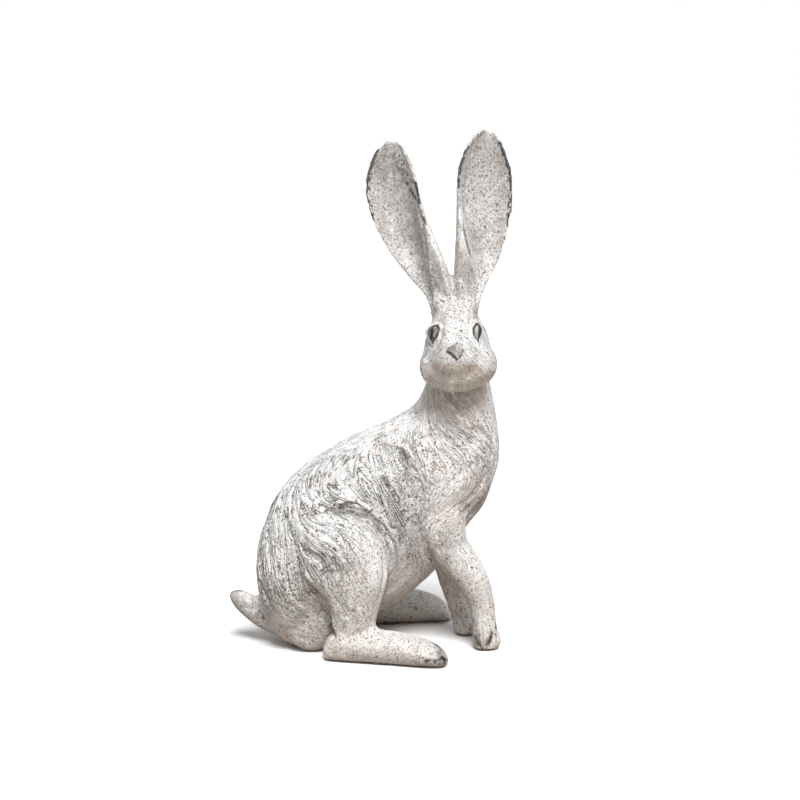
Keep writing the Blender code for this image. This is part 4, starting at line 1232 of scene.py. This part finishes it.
def spatter_group() -> bpy.types.NodeTree:
    """Make the group that scatters specks of paint of uneven size and outline."""
    inputs = {"Place": "Vector", "Scale": "Float", "Share": "Float", "Radius": "Float"}
    recipe, given, wanted = new_group("spatter", inputs, {"Mask": "Float"})
    scaled = recipe.add("VectorMath", {0: given["Place"], "Scale": given["Scale"]}, operation="SCALE")
    scaled = scaled.outputs[0]
    ragged = recipe.add("TexNoise", {"Vector": scaled, "Scale": 2.2, "Detail": 3.0, "Roughness": 0.7})
    moved = recipe.add("VectorMath", {0: ragged.outputs["Color"], 1: (0.7, 0.7, 0.7), 2: scaled},
                       operation="MULTIPLY_ADD")
    cells = recipe.add("TexVoronoi", {"Vector": moved.outputs[0], "Scale": 1.0, "Randomness": 1.0})
    chance = recipe.add("SeparateColor", {"Color": cells.outputs["Color"]})
    present = recipe.math("LESS_THAN", chance.outputs[0], given["Share"])
    size = recipe.math("MULTIPLY_ADD", chance.outputs[1], 0.8, 0.35)
    radius = recipe.times(size, given["Radius"])
    inside = recipe.math("SUBTRACT", radius, cells.outputs["Distance"])
    recipe.feed(wanted["Mask"], recipe.times(recipe.ramp(inside, 0, 0.08), present))
    return recipe.tree


def fur_group() -> bpy.types.NodeTree:
    """Make the group that draws furrows along the fur, at even steps of a measure across it."""
    recipe, given, wanted = new_group("fur_lines", {"Place": "Vector", "Across": "Float", "Size": "Float"},
                                      {"Line": "Float", "Height": "Float"})
    uneven = recipe.add("TexNoise", {"Vector": given["Place"], "Scale": given["Size"], "Detail": 2.0})
    moved = recipe.math("MULTIPLY_ADD", uneven.outputs["Fac"], 0.5, given["Across"])
    beside = recipe.math("PINGPONG", moved, 0.5)
    strength = recipe.add("SeparateColor", {"Color": uneven.outputs["Color"]}).outputs[1]
    wide = recipe.span(strength, (0.36, 0.62), (0.01, 0.38))
    recipe.feed(wanted["Line"], recipe.span(beside, (0, wide), (1, 0), "SMOOTHSTEP"))
    recipe.feed(wanted["Height"], recipe.ramp(beside, 0, 0.3))
    return recipe.tree


@dataclass(frozen=True)
class PaintedResin:
    """Off-white paint over cast resin, with a wash in the grooves, spatter, black wear and painted shade
    below.
    """

    white: tuple = (0.89, 0.885, 0.88, 1)
    cream: tuple = (0.76, 0.745, 0.72, 1)
    # The warm brown of the painted shade below, and the grey of the dustier ground, which lower down is
    # painted shade too.
    shade_tan: tuple = (0.62, 0.525, 0.445, 1)
    dust_and_shade_grey: tuple = (0.50, 0.47, 0.45, 1)
    wash: tuple = (0.085, 0.078, 0.07, 1)
    warm_wash: tuple = (0.30, 0.22, 0.17, 1)
    fleck: tuple = (0.20, 0.165, 0.145, 1)
    rust: tuple = (0.185, 0.105, 0.072, 1)
    grey: tuple = (0.16, 0.15, 0.14, 1)
    black: tuple = (0.025, 0.023, 0.022, 1)

    def material(self) -> bpy.types.Material:
        """Make the material."""
        coat = Coat("painted_resin")
        place = coat.place()
        cloud = coat.noise(place, 7 * MM, 4, 0.6)
        fur, strand = coat.mask("fur"), coat.mask("strand")
        furrow, furrow_height = self.fur_lines(coat, place, strand, 9 * MM)
        finer = coat.math("MULTIPLY_ADD", strand, 2.0, coat.mask("hair"))
        hair, hair_height = self.fur_lines(coat, place, finer, 5 * MM)
        furrow = coat.times(furrow, fur)
        colour = self.ground(coat, cloud)
        colour = self.wash_grooves(coat, colour, cloud, furrow, coat.times(hair, fur))
        colour = self.spatter(coat, colour, place)
        ragged = coat.noise(place, 2.2 * MM, 5, 0.8)
        worn = coat.ramp(coat.math("MULTIPLY_ADD", coat.mask("worn"), 0.72, ragged), 0.88, 0.98)
        colour = coat.cover(colour, self.black, worn, 0.93)
        paint = coat.add("Attribute", attribute_name="paint")
        colour = coat.mix(paint.outputs["Alpha"], colour, paint.outputs["Color"])
        grain = coat.times(coat.noise(place, 0.7 * MM, 3, 0.6), 0.5)
        height = coat.math("MULTIPLY_ADD", hair_height, 0.5, furrow_height)
        height = coat.math("MULTIPLY_ADD", coat.times(height, fur), 1.5, grain)
        return coat.finish(colour, coat.span(furrow, (0, 1), (0.55, 0.85)), (height, 0.8, 0.45 * MM))

    def fur_lines(self, coat: Coat, place: Socket, across: Socket, size: float) -> tuple[Socket, Socket]:
        """Draw lines along the fur that swell and fade over a size, and give their mask and height."""
        tree = bpy.data.node_groups.get("fur_lines") or fur_group()
        lines = coat.add("Group", {"Place": place, "Across": across, "Size": 1 / size}, node_tree=tree)
        return lines.outputs["Line"], lines.outputs["Height"]

    def ground(self, coat: Coat, cloud: Socket) -> Socket:
        """Give the ground coat: off-white, painted shade in warm brown below, and a dustier ground inside
        the ears, which lower down is painted shade too.
        """
        colour = coat.mix(coat.ramp(cloud, 0.45, 0.75), self.white, self.cream)
        # Painted shade: the warm brown covers the undersides and the lower parts.
        below = coat.times(coat.mask("painted_shade"), coat.ramp(cloud, 0.25, 0.45))
        colour = coat.cover(colour, self.shade_tan, below, 0.9)
        # A dustier, darker ground inside the ears and on the crown, which on the speckled lower parts is
        # painted shade.
        dust_and_shade = coat.times(coat.mask("dust_and_shade"), coat.ramp(cloud, 0.2, 0.5))
        return coat.cover(colour, self.dust_and_shade_grey, dust_and_shade, 0.8)

    def wash_grooves(self, coat: Coat, colour: Socket, cloud: Socket, furrow: Socket,
                     hair: Socket) -> Socket:
        """Let the dark wash settle in the grooves and along the hair; in the creases the wash is partly
        painted shade.
        """
        wash = coat.mix(coat.mask("warm"), self.wash, self.warm_wash)
        # The deep wash follows the groove mask, which in the creases is partly painted shade.
        deep = coat.times(coat.ramp(coat.mask("groove"), 0.15, 0.9), coat.ramp(cloud, 0.2, 0.5))
        for mask, strength in ((deep, 0.80), (furrow, 0.95), (hair, 0.35)):
            colour = coat.cover(colour, wash, mask, strength)
        return colour

    def spatter(self, coat: Coat, colour: Socket, place: Socket) -> Socket:
        """Spatter the paint with grey-brown flecks and with grey, grey-brown and rust-brown specks."""
        fine = coat.noise(place, 1.5 * MM, 4, 0.75)
        edge = coat.math("MULTIPLY_ADD", coat.mask("speckled"), -0.07, 0.58)
        flecks = coat.span(fine, (edge, coat.math("ADD", edge, 0.05)), (0, 1))
        colour = coat.cover(colour, self.fleck, flecks, 0.70)
        group = spatter_group()
        # Share of the cells that hold a speck, the cells' size, a speck's greatest radius as a share of its
        # cell, its paint and how well it covers.
        for share, size, radius, paint, strength in (
            (0.60, 1.1 * MM, 0.34, self.grey, 0.50),
            (0.55, 1.6 * MM, 0.36, self.fleck, 0.75),
            (0.50, 2.2 * MM, 0.35, self.rust, 0.80),
            (0.32, 4.0 * MM, 0.27, self.rust, 0.85),
        ):
            inputs = {"Place": place, "Scale": 1 / size, "Share": share, "Radius": radius}
            specks = coat.add("Group", inputs, node_tree=group)
            colour = coat.cover(colour, paint, specks.outputs["Mask"], strength)
        return colour


@dataclass(frozen=True)
class WoolFelt:
    """Grey wool felt."""

    light: tuple = (0.26, 0.25, 0.24, 1)
    dark: tuple = (0.11, 0.105, 0.10, 1)

    def material(self) -> bpy.types.Material:
        """Make the material."""
        coat = Coat("wool_felt")
        inputs = {"Vector": coat.place(), "Scale": 1400.0, "Detail": 5.0, "Distortion": 2.5}
        fibre = coat.add("TexNoise", inputs).outputs["Fac"]
        colour = coat.mix(coat.ramp(fibre, 0.35, 0.65), self.dark, self.light)
        return coat.finish(colour, 0.95, (fibre, 0.8, 0.3 * MM))


@dataclass(frozen=True)
class BlackRubber:
    """Moulded black rubber with a fine grain."""

    light: tuple = (0.045, 0.045, 0.045, 1)
    dark: tuple = (0.02, 0.02, 0.02, 1)

    def material(self) -> bpy.types.Material:
        """Make the material."""
        coat = Coat("black_rubber")
        grain = coat.noise(coat.place(), 0.4 * MM, 4)
        rough = coat.span(grain, (0, 1), (0.55, 0.85))
        return coat.finish(coat.mix(grain, self.dark, self.light), rough, (grain, 0.4, 0.1 * MM))


@dataclass(frozen=True)
class SteelRod:
    """Drawn steel rod with fine scratches."""

    bright: tuple = (0.62, 0.62, 0.63, 1)
    dull: tuple = (0.36, 0.36, 0.37, 1)

    def material(self) -> bpy.types.Material:
        """Make the material."""
        coat = Coat("steel_rod")
        scratches = coat.noise(coat.place(), 0.5 * MM, 5, 0.7)
        colour = coat.mix(scratches, self.dull, self.bright)
        rough = coat.span(scratches, (0, 1), (0.25, 0.5))
        return coat.finish(colour, rough, (scratches, 0.2, 0.05 * MM), metallic=1)


@dataclass(frozen=True)
class BeechWood:
    """Plain beech with its short dark flecks."""

    light: tuple = (0.66, 0.48, 0.30, 1)
    dark: tuple = (0.42, 0.27, 0.15, 1)

    def material(self) -> bpy.types.Material:
        """Make the material."""
        coat = Coat("beech_wood")
        place = coat.place()
        rings = coat.add("TexWave", {"Vector": place, "Scale": 180.0, "Distortion": 3.0, "Detail": 3.0})
        flecks = coat.noise(place, 0.7 * MM, 3)
        share = coat.math("MULTIPLY_ADD", coat.ramp(flecks, 0.6, 0.7), 0.5, rings.outputs["Fac"])
        return coat.finish(coat.mix(share, self.light, self.dark), 0.65, (flecks, 0.3, 0.1 * MM))


FITTINGS = {
    WoolFelt: ("felt_pad_rump", "felt_pad_foot_right", "felt_pad_foot_left",
               "felt_pad_paw_right", "felt_pad_paw_left"),
    BlackRubber: ("fill_plug",),
    SteelRod: ("ear_pin_right", "ear_pin_left", "foreleg_pin_right", "foreleg_pin_left",
               "foot_pin_right", "foot_pin_left", "tail_pin"),
    BeechWood: ("neck_dowel_front", "neck_dowel_rear"),
}


class Hare:
    """The nine castings, modelled as one, carved, painted and sawn apart."""

    def build(self) -> None:
        """Build the castings."""
        skin = Clay().shape()
        LOG.info("clay: %d vertices", skin.count)
        seams = Seams(skin)
        seams.draw()
        LOG.info("seams drawn")
        Carver(skin, Sight(skin)).carve()
        paint = PaintedResin().material()
        skin.mesh.materials.clear()
        skin.mesh.materials.append(paint)
        skin.mesh.shade_smooth()
        normals = skin.mesh.attributes.new("skin_normal", "FLOAT_VECTOR", "POINT")
        normals.data.foreach_set("vector", skin.normals.astype(np.float32).ravel())
        for casting in Casting:
            piece = seams.saw(casting)
            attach(piece, "root")
            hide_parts(casting.value)
            LOG.info("%s: %d faces", piece.name, len(piece.data.polygons))


class Fittings:
    """The pins, dowels, plug and pads, which keep their solids."""

    def dress(self) -> None:
        """Give each fitting its finish."""
        for finish, names in FITTINGS.items():
            material = finish().material()
            for name in names:
                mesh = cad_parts[name].data
                mesh.materials.clear()
                mesh.materials.append(material)
                LOG.info("%s: %s", name, material.name)


@dataclass
class Studio:
    """A pale floor, soft light from above and in front, and the camera.

    Attributes:
        daylight: Strength of the light from all around.
        key: Strength of the light from above and in front.
        key_from: Where that light comes from.
        key_softness: How wide that light is, as an angle.
        floor_size: Half the floor's width in metres.
        floor_seen: The floor's colour for the camera.
        floor_thrown: Its colour for the light that it throws back.
    """

    daylight: float = 0.40
    key: float = 4.05
    key_from: tuple = (0.12, -0.75, 0.95)
    key_softness: float = math.radians(26)
    floor_size: float = 12
    floor_seen: tuple = (0.97, 0.97, 0.97, 1)
    floor_thrown: tuple = (0.42, 0.40, 0.38, 1)

    def build(self) -> None:
        """Build the studio."""
        bpy.context.scene.view_settings.view_transform = "Standard"
        self.lay_floor()
        self.hang_lights()
        self.set_up_camera()

    def lay_floor(self) -> None:
        """Lay the floor."""
        form = bmesh.new()
        bmesh.ops.create_grid(form, x_segments=1, y_segments=1, size=self.floor_size)
        mesh = mesh_from(form, "floor")
        floor = place_object("floor", mesh)
        coat = Coat("pale_floor")
        seen = coat.add("LightPath").outputs["Is Camera Ray"]
        mesh.materials.append(coat.finish(coat.mix(seen, self.floor_thrown, self.floor_seen), 0.9))

    def hang_lights(self) -> None:
        """Hang the lights."""
        world = bpy.data.worlds.new("studio")
        bpy.context.scene.world = world
        world.use_nodes = True
        background = world.node_tree.nodes["Background"]
        background.inputs["Color"].default_value = (1, 1, 1, 1)
        recipe = Recipe(world.node_tree)
        seen = recipe.add("LightPath").outputs["Is Camera Ray"]
        recipe.feed(background.inputs["Strength"], recipe.span(seen, (0, 1), (self.daylight, 1)))
        light = bpy.data.lights.new("key", "SUN")
        light.energy = self.key
        light.angle = self.key_softness
        key = place_object("key", light)
        key.rotation_euler = (-Vector(self.key_from)).to_track_quat("-Z", "Y").to_euler()

    def set_up_camera(self) -> None:
        """Set the camera up where the photograph was taken from."""
        camera = bpy.data.cameras.new("camera")
        camera.sensor_width = SENSOR_WIDTH
        camera.lens = CAMERA_LENS
        thing = place_object("camera", camera)
        thing.location = CAMERA_PLACE
        thing.rotation_euler = CAMERA_TURN.to_euler()
        bpy.context.scene.camera = thing


def main() -> None:
    """Build, dress and light the hare."""
    logging.basicConfig(level=logging.INFO, format="%(relativeCreated)d ms %(message)s")
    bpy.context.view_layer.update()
    Hare().build()
    Fittings().dress()
    Studio().build()


if __name__ == "__main__":
    main()
